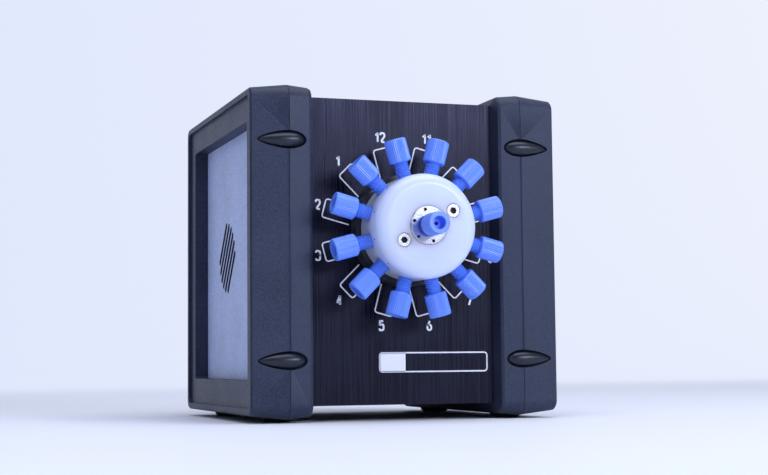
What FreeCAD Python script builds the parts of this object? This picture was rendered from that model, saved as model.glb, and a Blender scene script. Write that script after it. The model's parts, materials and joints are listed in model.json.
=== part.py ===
import FreeCAD, Part
import math
import os

from FreeCAD import Vector

# Twelve-way rotary distribution valve on a bench-top drive unit.
# Modelling frame: X across the front, Y back from the front panel's face,
# Z up from the panel's lower edge. Everything is moved at the end so that
# the origin lies on the surface it stands on, below the middle of its depth.
# All sizes are in millimetres.

# Panels and covers of the casing
PANEL_HEIGHT = 131.0
CASE_DEPTH = 120.0
PANEL_T = 3.0
COVER_T = 2.5
PANEL_TUCK = 4.6
FIT = 0.1

# Side frames: a roof-shaped bumper round each side of the casing
FRAME_IN_X = 40.9
FRAME_LIP_X = 42.5
FRAME_RIDGE_X = 52.6
FRAME_OUT_X = 69.1
FRAME_PROUD_Y = 5.3
FRAME_PROUD_TOP = 2.8
FRAME_PROUD_LOW = 3.6
RIDGE_RISE = 1.8
LIP_RISE = 0.9
FRAME_CORNER_R = 4.5
EDGE_CHAMFER = 0.8
LIP_ROUND = 1.2
RIM_WIDTH = 3.0
RIM_PROUD = 1.5
WINDOW_MARGIN_Y = 11.9
WINDOW_MARGIN_TOP = 13.3
WINDOW_MARGIN_LOW = 14.7
WINDOW_CORNER_R = 1.5

# Side panels with their vent of slanted slots
SIDE_PANEL_RECESS = 6.3
SIDE_PANEL_T = 2.5
SIDE_PANEL_LAP = 3.0
VENT_Y = 71.5
VENT_Z = 66.7
VENT_R = 16.1
VENT_SLOT_W = 2.9
VENT_PITCH = 4.3
VENT_SLOTS = 6
VENT_TILT = 40.0

# Half-round plugs that cover the frame screws, pointed outwards
PLUG_WIDE_X = 52.6
PLUG_POINT = 13.2
PLUG_END = 7.3
PLUG_SHOULDER = 0.35
PLUG_TIP_ROUND = 0.4
PLUG_HALF_H = 3.65
PLUG_SEAT = 4.45
PLUG_LOW_Z = 19.1
PLUG_HIGH_Z = 111.6
PLUG_GAP = 0.3

# Screws through the frames into four tie bars
BAR_SIDE = 8.0
FRAME_SCREW_X = 52.0
M3_R = 1.5
M3_HEAD_R = 2.75
M3_HEAD_H = 3.0
M3_SOCKET_R = 1.45
M3_SOCKET_DEPTH = 1.6
TAPPED_GAP = 0.05
FRAME_SCREW_LENGTH = 10.0

# Feet
FOOT_R = 6.9
FOOT_DROP = 1.4
FOOT_SEAT = 1.6
FOOT_INSET_Y = 15.0
FOOT_BEVEL = 1.3

# Valve head on the front panel
VALVE_Z = 74.3
ADAPTER_R = 24.0
ADAPTER_T = 8.5
ADAPTER_TUBE_R = 12.0
ADAPTER_TUBE_LENGTH = 14.0
VALVE_R = 22.0
VALVE_T = 23.5
VALVE_FRONT_ROUND = 5.0
PORT_COUNT = 12
PORT_FIRST_ANGLE = 135.0
PORT_DEPTH_FROM_FACE = 14.0
PORT_FLOOR_R = 14.6
CHANNEL_R = 0.5
CHANNEL_CIRCLE_R = 4.5
INSERT_R = 8.05
INSERT_DEPTH = 8.0
INSERT_PROUD = 0.3
INSERT_HOLES = 6
INSERT_HOLE_CIRCLE_R = 6.7
INSERT_HOLE_R = 0.65
INSERT_HOLE_DEPTH = 1.8
COMMON_PORT_DEPTH = 11.5
VALVE_SCREW_CIRCLE_R = 12.5
VALVE_SCREW_FIRST_ANGLE = 30.0
VALVE_SCREW_COUNT = 2
VALVE_SCREW_BITE = 4.5
TAP_DEPTH = 4.9
COUNTERBORE_R = 3.0
COUNTERBORE_DEPTH = 3.2

# Finger-tight tube fittings, thread 1/4-28
THREAD_R = 3.175
THREAD_GAP = 0.05
HEAD_R = 4.72
HEAD_LENGTH = 10.0
HEAD_CHAMFER = 0.5
SHANK_VISIBLE = 6.4
HEAD_RECESS_R = 2.7
HEAD_RECESS_DEPTH = 4.0
TUBE_HOLE_R = 0.83
TUBE_GUIDE_LENGTH = 7.0
TUBE_RELIEF_R = 1.05
FERRULE_R = 2.75
FERRULE_TIP_R = 1.75
FERRULE_LENGTH = 3.0

# Rotor inside the valve head
ROTOR_CAVITY_R = 10.0
ROTOR_CAVITY_DEPTH = 5.0
RUN_GAP = 0.05
SEAL_T = 3.95
SHAFT_FLANGE_R = 9.5
SHAFT_FLANGE_T = 2.9
SHAFT_R = 4.0
PEG_R = 1.2
PEG_CIRCLE_R = 6.0
PEG_LENGTH = 1.6
SPRING_COUNT = 4
SPRING_SHEET = 0.5
SPRING_CONE = 0.55
SPRING_R = 9.0
BEARING_R = 8.0
BEARING_W = 5.0
BEARING_START = 1.0
BEARING_SEAL_GROOVE = 1.6
BEARING_SEAL_DEPTH = 0.4

# Drive inside the casing
MOTOR_SIDE = 42.3
MOTOR_HOLE_PITCH = 31.0
MOTOR_FACE_Y = 33.0
MOTOR_LENGTH = 40.0
MOTOR_CAP = 9.0
MOTOR_CORNER = 4.0
MOTOR_CORE_STEP = 0.4
MOTOR_BOSS_R = 11.0
MOTOR_BOSS_T = 2.0
MOTOR_SHAFT_R = 2.5
MOTOR_SHAFT_REACH = 10.3
MOTOR_SHAFT_INSIDE = 18.0
MOTOR_SOCKET_W = 16.0
MOTOR_SOCKET_H = 5.0
MOTOR_SOCKET_T = 6.0
MOTOR_SOCKET_INSET = 1.0
STANDOFF_FLATS = 5.5
STUD_LENGTH = 4.0
COUPLING_R = 8.0
COUPLING_START = 15.4
COUPLING_LENGTH = 14.2
COUPLING_SLIT = 0.6
COUPLING_SLITS = 3
DISC_R = 14.0
DISC_T = 0.8
DISC_Y = 26.4
DISC_WINDOW_W = 2.0
DISC_WINDOW_R = (10.6, 12.8)
SENSOR_GAP = 2.0
SENSOR_W = 6.0
SENSOR_ARM = 1.6
SENSOR_REACH = 4.2
SENSOR_CLEAR = 0.6
SENSOR_BOARD_X = 20.0
SENSOR_BOARD_T = 1.6
SENSOR_BOARD_FRONT_GAP = 4.0
SENSOR_BOARD_REAR_GAP = 1.0

# Control board and the rear panel's fittings
BOARD_X = 40.0
BOARD_T = 1.6
BOARD_RISE = 7.0
BOARD_MARGIN = 1.2
BOARD_POST_X = 35.0
BOARD_POST_R = 2.5
PROCESSOR_SIDE = 12.0
PROCESSOR_H = 1.6
PROCESSOR_AT = (-14.0, 50.0)
DRIVER_SIDE = 9.0
DRIVER_H = 8.0
DRIVER_AT = ((18.0, 46.0), (18.0, 62.0))
TERMINAL_W = 7.0
TERMINAL_LENGTH = 22.0
TERMINAL_H = 6.5
TERMINAL_AT = ((-30.0, 30.0), (29.0, 86.0))
CAPACITOR_R = 4.0
CAPACITOR_H = 12.0
CAPACITOR_AT = ((-22.0, 84.0), (-10.0, 84.0))
LEAD_R = 1.6
LEAD_SHIFT = 9.0
LEAD_HEADER_W = 8.0
LEAD_HEADER_T = 6.0
LEAD_HEADER_H = 6.0
USB_X = -22.0
USB_W = 12.0
USB_H = 10.9
USB_LENGTH = 18.0
USB_WALL = 1.6
USB_TONGUE_W = 5.6
USB_TONGUE_H = 3.2
USB_SOCKET_DEPTH = 9.0
POWER_X = 4.0
POWER_W = 9.0
POWER_H = 11.0
POWER_LENGTH = 14.5
POWER_HOLE_R = 3.1
POWER_PIN_R = 1.0
POWER_HOLE_DEPTH = 9.5
SOCKET_PROUD = 0.5
SWITCH_X = 24.0
SWITCH_Z = 75.0
SWITCH_BEZEL_W = 15.0
SWITCH_BEZEL_H = 21.5
SWITCH_BEZEL_T = 2.0
SWITCH_BEZEL_CHAMFER = 0.6
SWITCH_WALL = 0.9
SWITCH_BODY_W = 12.8
SWITCH_BODY_H = 19.2
SWITCH_BODY_LENGTH = 14.0
ROCKER_GAP = 0.25
ROCKER_HALF_H = 7.6
ROCKER_TOP = 5.6
ROCKER_DIP = 1.4
ROCKER_SKIRT = 3.0
ROCKER_TILT = 9.0
PIVOT_R = 0.8
PIVOT_DEPTH = 4.5

# Places that follow from the sizes above
PANEL_EDGE_X = FRAME_IN_X + PANEL_TUCK
SIDE_FACE_X = FRAME_OUT_X - RIM_PROUD
SIDE_PANEL_X = SIDE_FACE_X - SIDE_PANEL_RECESS
SIDE_PANEL_IN_X = SIDE_PANEL_X - SIDE_PANEL_T
WINDOW_Y = (WINDOW_MARGIN_Y - FRAME_PROUD_Y, CASE_DEPTH + FRAME_PROUD_Y - WINDOW_MARGIN_Y)
WINDOW_Z = (WINDOW_MARGIN_LOW - FRAME_PROUD_LOW, PANEL_HEIGHT + FRAME_PROUD_TOP - WINDOW_MARGIN_TOP)
INSIDE_Y = (PANEL_T, CASE_DEPTH - PANEL_T)
INSIDE_Z = (COVER_T, PANEL_HEIGHT - COVER_T)
ADAPTER_FACE_Y = -ADAPTER_T
VALVE_FACE_Y = ADAPTER_FACE_Y - VALVE_T
PORT_Y = VALVE_FACE_Y + PORT_DEPTH_FROM_FACE
COMMON_FLOOR_Y = VALVE_FACE_Y + COMMON_PORT_DEPTH
STATOR_FACE_Y = ADAPTER_FACE_Y - ROTOR_CAVITY_DEPTH
FLANGE_Y = STATOR_FACE_Y + RUN_GAP + SEAL_T
SPRING_Y = FLANGE_Y + SHAFT_FLANGE_T
THRUST_Y = SPRING_Y + SPRING_COUNT * (SPRING_SHEET + SPRING_CONE) + RUN_GAP
HEAD_START = VALVE_R - PORT_FLOOR_R + SHANK_VISIBLE
HEAD_END = HEAD_START + HEAD_LENGTH
BAR_Y = (PANEL_T, CASE_DEPTH - PANEL_T - BAR_SIDE)
BAR_Z = (PLUG_LOW_Z - BAR_SIDE / 2, PLUG_HIGH_Z - BAR_SIDE / 2)
FOOT_Y = (FOOT_INSET_Y, CASE_DEPTH - FOOT_INSET_Y)
FOOT_TOP_Z = FOOT_SEAT - FRAME_PROUD_LOW - RIDGE_RISE
FLOOR_Z = -FRAME_PROUD_LOW - RIDGE_RISE - FOOT_DROP
BOARD_Z = BAR_Z[0] + BAR_SIDE + BOARD_RISE
BOARD_TOP_Z = BOARD_Z + BOARD_T
MOTOR_SOCKET_Z = VALVE_Z - MOTOR_SIDE / 2 - MOTOR_SOCKET_H
LEAD_Y = MOTOR_FACE_Y + MOTOR_LENGTH - MOTOR_SOCKET_INSET - MOTOR_SOCKET_T / 2
FRONT_REACH = COMMON_FLOOR_Y - HEAD_END
REAR_REACH = CASE_DEPTH + PLUG_SEAT + PLUG_HALF_H
ORIGIN_Y = (FRONT_REACH + REAR_REACH) / 2

os.makedirs("parts", exist_ok=True)


def save(name, solids):
    """Write one node, moved from the modelling frame to the part's own frame."""
    shape = Part.makeCompound(solids) if len(solids) > 1 else solids[0].copy()
    shape.translate(Vector(0, -ORIGIN_Y, -FLOOR_Z))
    shape.exportStep("parts/" + name + ".step")


def box(x, y, z):
    """Box between a low and a high value on each axis."""
    return Part.makeBox(x[1] - x[0], y[1] - y[0], z[1] - z[0], Vector(x[0], y[0], z[0]))


def around(middle, size):
    return (middle - size / 2, middle + size / 2)


def rod_y(radius, y, x=0.0, z=VALVE_Z):
    """Cylinder along Y between two depths."""
    return Part.makeCylinder(radius, y[1] - y[0], Vector(x, y[0], z), Vector(0, 1, 0))


def tube_y(outer, inner, y):
    return rod_y(outer, y).cut(rod_y(inner, y))


def polar(radius, angle):
    """X and Z of a point on a circle round the valve's axis."""
    turn = math.radians(angle)
    return radius * math.cos(turn), VALVE_Z + radius * math.sin(turn)


def revolve(points, axis_point, axis):
    face = Part.Face(Part.makePolygon(points + points[:1]))
    return face.revolve(axis_point, axis, 360)


def mirrored(shape):
    """The same piece on the other side of the casing."""
    return shape.mirror(Vector(0, 0, 0), Vector(1, 0, 0))


def back_twin(shape):
    """The same piece turned to the rear of the casing."""
    return shape.mirror(Vector(0, CASE_DEPTH / 2, 0), Vector(0, 1, 0))


def rounded_outline(x, y, z, radius):
    """Rounded rectangle in a plane across X."""
    k = radius * (1 - math.sqrt(0.5))
    y0, y1 = y
    z0, z1 = z
    corners = (
        (Vector(x, y1 - radius, z0), Vector(x, y1 - k, z0 + k), Vector(x, y1, z0 + radius)),
        (Vector(x, y1, z1 - radius), Vector(x, y1 - k, z1 - k), Vector(x, y1 - radius, z1)),
        (Vector(x, y0 + radius, z1), Vector(x, y0 + k, z1 - k), Vector(x, y0, z1 - radius)),
        (Vector(x, y0, z0 + radius), Vector(x, y0 + k, z0 + k), Vector(x, y0 + radius, z0)),
    )
    edges = []
    for index, corner in enumerate(corners):
        edges.append(Part.LineSegment(corners[index - 1][2], corner[0]).toShape())
        edges.append(Part.Arc(*corner).toShape())
    return Part.Wire(edges)


def rounded_block(x, y, z, radius):
    outline = rounded_outline(x[0], y, z, radius)
    return Part.Face(outline).extrude(Vector(x[1] - x[0], 0, 0))


def frame_outline(x, rise):
    """Outline of the bumper at one place across its width."""
    reach_y = FRAME_PROUD_Y + rise
    y = (-reach_y, CASE_DEPTH + reach_y)
    z = (-FRAME_PROUD_LOW - rise, PANEL_HEIGHT + FRAME_PROUD_TOP + rise)
    return rounded_outline(x, y, z, FRAME_CORNER_R + rise)


def plug_curves(grow, low_end):
    """Round inner end and upper flank of a plug's outline, in its seat's plane."""
    y = -PLUG_SEAT
    half = PLUG_HALF_H + grow
    middle = Vector(PLUG_WIDE_X, y, 0)
    top = Vector(PLUG_WIDE_X, y, half)
    nose = Vector(PLUG_WIDE_X - PLUG_END - grow, y, 0)
    reach = PLUG_POINT + grow
    shoulder = Vector(PLUG_WIDE_X + PLUG_SHOULDER * reach, y, half)
    tip = Vector(PLUG_WIDE_X + reach, y, 0)
    end = Part.ArcOfEllipse(Part.Ellipse(nose, top, middle), low_end, math.pi / 2)
    flank = Part.BezierCurve()
    flank.setPoles([top, shoulder, tip + Vector(0, 0, PLUG_TIP_ROUND * half), tip])
    return end.toShape(), flank.toShape()


def plug_pocket():
    """Cutter for a plug's recess, open to the front, at height zero."""
    end, flank = plug_curves(PLUG_GAP, -math.pi / 2)
    lower_flank = flank.mirror(Vector(0, 0, 0), Vector(0, 0, 1))
    outline = Part.Wire(Part.sortEdges([end, flank, lower_flank])[0])
    return Part.Face(outline).extrude(Vector(0, -FRAME_PROUD_Y - RIDGE_RISE, 0))


def frame_plug():
    """Front right plug at height zero: half its outline swept round its own axis."""
    end, flank = plug_curves(0, 0)
    tip = Vector(PLUG_WIDE_X + PLUG_POINT, -PLUG_SEAT, 0)
    nose = Vector(PLUG_WIDE_X - PLUG_END, -PLUG_SEAT, 0)
    axis = Part.makeLine(tip, nose)
    return Part.Face(Part.Wire([end, flank, axis])).revolve(nose, Vector(1, 0, 0), 180)


def at_height(shape, z):
    moved = shape.copy()
    moved.translate(Vector(0, 0, z))
    return moved


def socket_screw(length):
    """Socket head screw along Y, its head's seat at zero and its tip at plus length."""
    head = rod_y(M3_HEAD_R, (-M3_HEAD_H, 0), 0, 0)
    shank = rod_y(M3_R, (0, length), 0, 0)
    corners = []
    for step in range(7):
        turn = math.radians(60 * step)
        corners.append(Vector(M3_SOCKET_R * math.cos(turn), -M3_HEAD_H, M3_SOCKET_R * math.sin(turn)))
    socket = Part.Face(Part.makePolygon(corners)).extrude(Vector(0, M3_SOCKET_DEPTH, 0))
    return head.fuse(shank).cut(socket).removeSplitter()


def side_frame():
    """Right side frame: roof-shaped bumper, sunk side face, window and panel seats."""
    chamfer_x = FRAME_OUT_X - EDGE_CHAMFER
    panel_outline = rounded_outline(FRAME_IN_X, (0, CASE_DEPTH), (0, PANEL_HEIGHT), EDGE_CHAMFER)
    sections = [
        panel_outline,
        frame_outline(FRAME_LIP_X, LIP_RISE - LIP_ROUND / 2),
        frame_outline(FRAME_LIP_X + LIP_ROUND, LIP_RISE),
        frame_outline(FRAME_RIDGE_X, RIDGE_RISE),
        frame_outline(chamfer_x, 0),
        frame_outline(FRAME_OUT_X, -EDGE_CHAMFER),
    ]
    frame = Part.makeLoft(sections, True, True)
    rim_y = (RIM_WIDTH - FRAME_PROUD_Y, CASE_DEPTH + FRAME_PROUD_Y - RIM_WIDTH)
    rim_z = (RIM_WIDTH - FRAME_PROUD_LOW, PANEL_HEIGHT + FRAME_PROUD_TOP - RIM_WIDTH)
    sunk = rounded_block((SIDE_FACE_X, FRAME_OUT_X + 1), rim_y, rim_z, FRAME_CORNER_R - RIM_WIDTH / 2)
    window = rounded_block((FRAME_IN_X - 1, FRAME_OUT_X + 1), WINDOW_Y, WINDOW_Z, WINDOW_CORNER_R)
    plate_seat = box(
        (FRAME_IN_X - 1, PANEL_EDGE_X + FIT),
        (-FIT, CASE_DEPTH + FIT),
        (-FIT, PANEL_HEIGHT + FIT),
    )
    hollow = box((FRAME_IN_X, SIDE_PANEL_IN_X), INSIDE_Y, INSIDE_Z)
    lap = SIDE_PANEL_LAP + FIT
    panel_seat = box(
        (SIDE_PANEL_IN_X - 1, SIDE_PANEL_X),
        (WINDOW_Y[0] - lap, WINDOW_Y[1] + lap),
        (WINDOW_Z[0] - lap, WINDOW_Z[1] + lap),
    )
    for cutter in (sunk, window, plate_seat, hollow, panel_seat):
        frame = frame.cut(cutter)
    head_seat = rod_y(M3_HEAD_R + FIT, (-PLUG_SEAT, M3_HEAD_H - PLUG_SEAT), FRAME_SCREW_X, 0)
    hole = rod_y(M3_R + FIT, (-PLUG_SEAT, PANEL_T + 1), FRAME_SCREW_X, 0)
    front_cut = plug_pocket().fuse(head_seat).fuse(hole)
    for z in (PLUG_LOW_Z, PLUG_HIGH_Z):
        cutter = at_height(front_cut, z)
        frame = frame.cut(cutter).cut(back_twin(cutter))
    for y in FOOT_Y:
        seat = Part.makeCylinder(
            FOOT_R + FIT, FOOT_SEAT + 1, Vector(FRAME_RIDGE_X, y, FOOT_TOP_Z - FOOT_SEAT - 1)
        )
        frame = frame.cut(seat)
    return frame


def side_panel():
    """Flat panel seen through the frame's window, with a round vent of slanted slots."""
    panel = box(
        (SIDE_PANEL_IN_X, SIDE_PANEL_X),
        (WINDOW_Y[0] - SIDE_PANEL_LAP, WINDOW_Y[1] + SIDE_PANEL_LAP),
        (WINDOW_Z[0] - SIDE_PANEL_LAP, WINDOW_Z[1] + SIDE_PANEL_LAP),
    )
    x = (SIDE_PANEL_IN_X - 1, SIDE_PANEL_X + 1)
    for index in range(VENT_SLOTS):
        offset = (index - (VENT_SLOTS - 1) / 2) * VENT_PITCH
        half = math.sqrt(VENT_R * VENT_R - offset * offset)
        y = (offset - VENT_SLOT_W / 2, offset + VENT_SLOT_W / 2)
        slot = rounded_block(x, y, (-half, half), VENT_SLOT_W / 2 - 0.01)
        slot.rotate(Vector(0, 0, 0), Vector(1, 0, 0), VENT_TILT)
        slot.translate(Vector(0, VENT_Y, VENT_Z))
        panel = panel.cut(slot)
    return panel


def front_panel():
    """Brushed front plate with the hole for the drive tube and four stud holes."""
    plate = box((-PANEL_EDGE_X, PANEL_EDGE_X), (0, PANEL_T), (0, PANEL_HEIGHT))
    plate = plate.cut(rod_y(ADAPTER_TUBE_R + FIT, (-1, PANEL_T + 1)))
    for x, z in motor_corners():
        plate = plate.cut(rod_y(M3_R + FIT, (-1, PANEL_T + 1), x, z))
    return plate


def rear_panel():
    """Rear plate with its cut-outs for the two sockets and the switch."""
    y = (CASE_DEPTH - PANEL_T, CASE_DEPTH)
    wide = (y[0] - 1, y[1] + 1)
    plate = box((-PANEL_EDGE_X, PANEL_EDGE_X), y, (0, PANEL_HEIGHT))
    low = BOARD_TOP_Z
    plate = plate.cut(box(around(USB_X, USB_W + 2 * FIT), wide, (low - FIT, low + USB_H + FIT)))
    plate = plate.cut(box(around(POWER_X, POWER_W + 2 * FIT), wide, (low - FIT, low + POWER_H + FIT)))
    switch_x = around(SWITCH_X, SWITCH_BODY_W + 2 * FIT)
    switch_z = around(SWITCH_Z, SWITCH_BODY_H + 2 * FIT)
    return plate.cut(box(switch_x, wide, switch_z))


def motor_corners():
    half = MOTOR_HOLE_PITCH / 2
    return [(x, VALVE_Z + z) for x in (-half, half) for z in (-half, half)]


def valve_screw_places():
    """X and Z of each screw through the valve head."""
    turn = 360.0 / VALVE_SCREW_COUNT
    angles = [VALVE_SCREW_FIRST_ANGLE + index * turn for index in range(VALVE_SCREW_COUNT)]
    return [polar(VALVE_SCREW_CIRCLE_R, angle) for angle in angles]


def valve_adapter():
    """Black flange behind the valve head, with the tube that holds the bearings."""
    flange = rod_y(ADAPTER_R, (ADAPTER_FACE_Y, 0))
    body = flange.fuse(rod_y(ADAPTER_TUBE_R, (0, ADAPTER_TUBE_LENGTH)))
    body = body.cut(rod_y(ROTOR_CAVITY_R - RUN_GAP, (ADAPTER_FACE_Y, 0)))
    body = body.cut(rod_y(BEARING_R, (0, ADAPTER_TUBE_LENGTH)))
    for x, z in valve_screw_places():
        tapped = (ADAPTER_FACE_Y, ADAPTER_FACE_Y + TAP_DEPTH)
        body = body.cut(rod_y(M3_R + TAPPED_GAP, tapped, x, z))
    for x, z in motor_corners():
        body = body.cut(rod_y(M3_R + TAPPED_GAP, (PANEL_T - STUD_LENGTH - FIT, 0), x, z))
    return body


def port_angle(number):
    """Ports are numbered anticlockwise seen from the front, the first at upper left."""
    return PORT_FIRST_ANGLE + (number - 1) * 360.0 / PORT_COUNT


def valve_body():
    """Translucent disc: radial ports, their channels to the rotor, cavity and insert seat."""
    bend = VALVE_FRONT_ROUND
    dip = bend * (1 - math.sqrt(0.5))
    round_start = Vector(VALVE_R, VALVE_FACE_Y + bend, 0)
    round_middle = Vector(VALVE_R - dip, VALVE_FACE_Y + dip, 0)
    round_end = Vector(VALVE_R - bend, VALVE_FACE_Y, 0)
    edges = [
        Part.LineSegment(Vector(0, ADAPTER_FACE_Y, 0), Vector(VALVE_R, ADAPTER_FACE_Y, 0)),
        Part.LineSegment(Vector(VALVE_R, ADAPTER_FACE_Y, 0), round_start),
        Part.Arc(round_start, round_middle, round_end),
        Part.LineSegment(round_end, Vector(0, VALVE_FACE_Y, 0)),
        Part.LineSegment(Vector(0, VALVE_FACE_Y, 0), Vector(0, ADAPTER_FACE_Y, 0)),
    ]
    outline = Part.Face(Part.Wire([edge.toShape() for edge in edges]))
    disc = outline.revolve(Vector(0, 0, 0), Vector(0, 1, 0), 360)
    disc.translate(Vector(0, 0, VALVE_Z))
    insert_end = VALVE_FACE_Y + INSERT_DEPTH
    disc = disc.cut(rod_y(INSERT_R + TAPPED_GAP, (VALVE_FACE_Y - 1, insert_end)))
    disc = disc.cut(rod_y(THREAD_R + THREAD_GAP, (VALVE_FACE_Y - 1, COMMON_FLOOR_Y)))
    disc = disc.cut(rod_y(CHANNEL_R, (COMMON_FLOOR_Y - 1, STATOR_FACE_Y + 1)))
    disc = disc.cut(rod_y(ROTOR_CAVITY_R, (STATOR_FACE_Y, ADAPTER_FACE_Y + 1)))
    port_r = THREAD_R + THREAD_GAP
    port = Part.makeCylinder(port_r, VALVE_R, Vector(PORT_FLOOR_R, PORT_Y, 0), Vector(1, 0, 0))
    start = Vector(PORT_FLOOR_R + port_r / 2, PORT_Y, 0)
    slope = (PORT_Y - STATOR_FACE_Y) / (PORT_FLOOR_R - CHANNEL_CIRCLE_R)
    run = Vector(-1, -slope, 0)
    length = (start.x - CHANNEL_CIRCLE_R + CHANNEL_R) * math.sqrt(1 + slope * slope)
    channel = Part.makeCylinder(CHANNEL_R, length, start, run)
    cutter = port.fuse(channel)
    for number in range(1, PORT_COUNT + 1):
        tool = cutter.copy()
        tool.rotate(Vector(0, 0, 0), Vector(0, -1, 0), port_angle(number))
        tool.translate(Vector(0, 0, VALVE_Z))
        disc = disc.cut(tool)
    for x, z in valve_screw_places():
        disc = disc.cut(rod_y(M3_R + FIT, (VALVE_FACE_Y - 1, ADAPTER_FACE_Y + 1), x, z))
        seat = (VALVE_FACE_Y - 1, VALVE_FACE_Y + COUNTERBORE_DEPTH)
        disc = disc.cut(rod_y(COUNTERBORE_R, seat, x, z))
    return disc


def valve_screws():
    seat = VALVE_FACE_Y + COUNTERBORE_DEPTH
    screws = []
    for x, z in valve_screw_places():
        screw = socket_screw(ADAPTER_FACE_Y + VALVE_SCREW_BITE - seat)
        screw.translate(Vector(x, seat, z))
        screws.append(screw)
    return screws


def port_insert():
    """Steel insert for the common port, with holes for a pin spanner in its face."""
    face = VALVE_FACE_Y - INSERT_PROUD
    end = VALVE_FACE_Y + INSERT_DEPTH
    insert = rod_y(INSERT_R, (face, end))
    rim = [edge for edge in insert.Edges if edge.BoundBox.YMax < end - 1 and len(edge.Vertexes) == 1]
    insert = insert.makeChamfer(INSERT_PROUD, rim)
    insert = insert.cut(rod_y(THREAD_R + THREAD_GAP, (face - 1, end + 1)))
    for index in range(INSERT_HOLES):
        x, z = polar(INSERT_HOLE_CIRCLE_R, 45 + index * 360.0 / INSERT_HOLES)
        insert = insert.cut(rod_y(INSERT_HOLE_R, (face - 1, face + INSERT_HOLE_DEPTH), x, z))
    return insert


def fitting_nut():
    """Nut of a finger-tight fitting along X, its port's floor at zero."""
    end = HEAD_END - HEAD_CHAMFER
    start = FERRULE_LENGTH + RUN_GAP
    recess = HEAD_END - HEAD_RECESS_DEPTH
    guide = recess - TUBE_GUIDE_LENGTH
    profile = [
        (start, TUBE_RELIEF_R),
        (start, THREAD_R - HEAD_CHAMFER),
        (start + HEAD_CHAMFER, THREAD_R),
        (HEAD_START, THREAD_R),
        (HEAD_START, HEAD_R - HEAD_CHAMFER),
        (HEAD_START + HEAD_CHAMFER, HEAD_R),
        (end, HEAD_R),
        (HEAD_END, HEAD_R - HEAD_CHAMFER),
        (HEAD_END, HEAD_RECESS_R),
        (recess, HEAD_RECESS_R),
        (recess, TUBE_HOLE_R),
        (guide, TUBE_HOLE_R),
        (guide, TUBE_RELIEF_R),
    ]
    return revolve([Vector(x, r, 0) for x, r in profile], Vector(0, 0, 0), Vector(1, 0, 0))


def fitting_ferrule():
    """Ferrule that seals the tube at the port's floor, along X like the nut."""
    profile = [
        (0, TUBE_HOLE_R),
        (0, FERRULE_TIP_R),
        (FERRULE_LENGTH, FERRULE_R),
        (FERRULE_LENGTH, TUBE_HOLE_R),
    ]
    return revolve([Vector(x, r, 0) for x, r in profile], Vector(0, 0, 0), Vector(1, 0, 0))


def in_port(shape, number):
    """Place a fitting's piece in a numbered radial port."""
    piece = shape.copy()
    piece.translate(Vector(PORT_FLOOR_R, PORT_Y, 0))
    piece.rotate(Vector(0, PORT_Y, 0), Vector(0, -1, 0), port_angle(number))
    piece.translate(Vector(0, 0, VALVE_Z))
    return piece


def in_common_port(shape):
    piece = shape.copy()
    piece.rotate(Vector(0, 0, 0), Vector(0, 0, 1), -90)
    piece.translate(Vector(0, COMMON_FLOOR_Y, VALVE_Z))
    return piece


def rotor_seal():
    """Disc that turns against the stator face and joins the centre to one port."""
    start = STATOR_FACE_Y + RUN_GAP
    seal = rod_y(ROTOR_CAVITY_R - RUN_GAP, (start, FLANGE_Y))
    groove = box((0, CHANNEL_CIRCLE_R), (start - 1, start + CHANNEL_R), around(0, 2 * CHANNEL_R))
    groove.rotate(Vector(0, 0, 0), Vector(0, -1, 0), PORT_FIRST_ANGLE)
    groove.translate(Vector(0, 0, VALVE_Z))
    seal = seal.cut(groove)
    for angle in (0, 180):
        x, z = polar(PEG_CIRCLE_R, angle)
        hole = (FLANGE_Y - PEG_LENGTH - RUN_GAP, FLANGE_Y + 1)
        seal = seal.cut(rod_y(PEG_R + RUN_GAP, hole, x, z))
    return seal


def drive_shaft():
    """Shaft with a flange that drives the seal through two pegs."""
    shaft = rod_y(SHAFT_FLANGE_R, (FLANGE_Y, SPRING_Y))
    shaft = shaft.fuse(rod_y(SHAFT_R, (FLANGE_Y, COUPLING_START + COUPLING_LENGTH / 2 - RUN_GAP)))
    for angle in (0, 180):
        x, z = polar(PEG_CIRCLE_R, angle)
        shaft = shaft.fuse(rod_y(PEG_R, (FLANGE_Y - PEG_LENGTH, FLANGE_Y), x, z))
    return shaft.removeSplitter()


def spring_washers():
    """Stack of cone springs that press the seal on the stator."""
    inner = SHAFT_R + FIT
    washers = []
    for index in range(SPRING_COUNT):
        low = SPRING_Y + index * (SPRING_SHEET + SPRING_CONE)
        rise = (0, SPRING_CONE) if index % 2 else (SPRING_CONE, 0)
        points = [
            Vector(inner, low + rise[0], 0),
            Vector(SPRING_R, low + rise[1], 0),
            Vector(SPRING_R, low + rise[1] + SPRING_SHEET, 0),
            Vector(inner, low + rise[0] + SPRING_SHEET, 0),
        ]
        washer = revolve(points, Vector(0, 0, 0), Vector(0, 1, 0))
        washer.translate(Vector(0, 0, VALVE_Z))
        washers.append(washer)
    return washers


def shaft_bearings():
    """Thrust washer behind the springs and two ball bearings in the drive tube."""
    bore = SHAFT_R + RUN_GAP
    thrust = tube_y(ROTOR_CAVITY_R - 2 * RUN_GAP, bore, (THRUST_Y, 0))
    rings = [thrust]
    middle = (bore + BEARING_R) / 2
    inner_r = middle - BEARING_SEAL_GROOVE / 2
    outer_r = middle + BEARING_SEAL_GROOVE / 2
    for start in (BEARING_START, ADAPTER_TUBE_LENGTH - BEARING_START - BEARING_W):
        end = start + BEARING_W
        ring = tube_y(BEARING_R, bore, (start, end))
        for y in ((start, start + BEARING_SEAL_DEPTH), (end - BEARING_SEAL_DEPTH, end)):
            ring = ring.cut(tube_y(outer_r, inner_r, y))
        rings.append(ring)
    return rings


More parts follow.
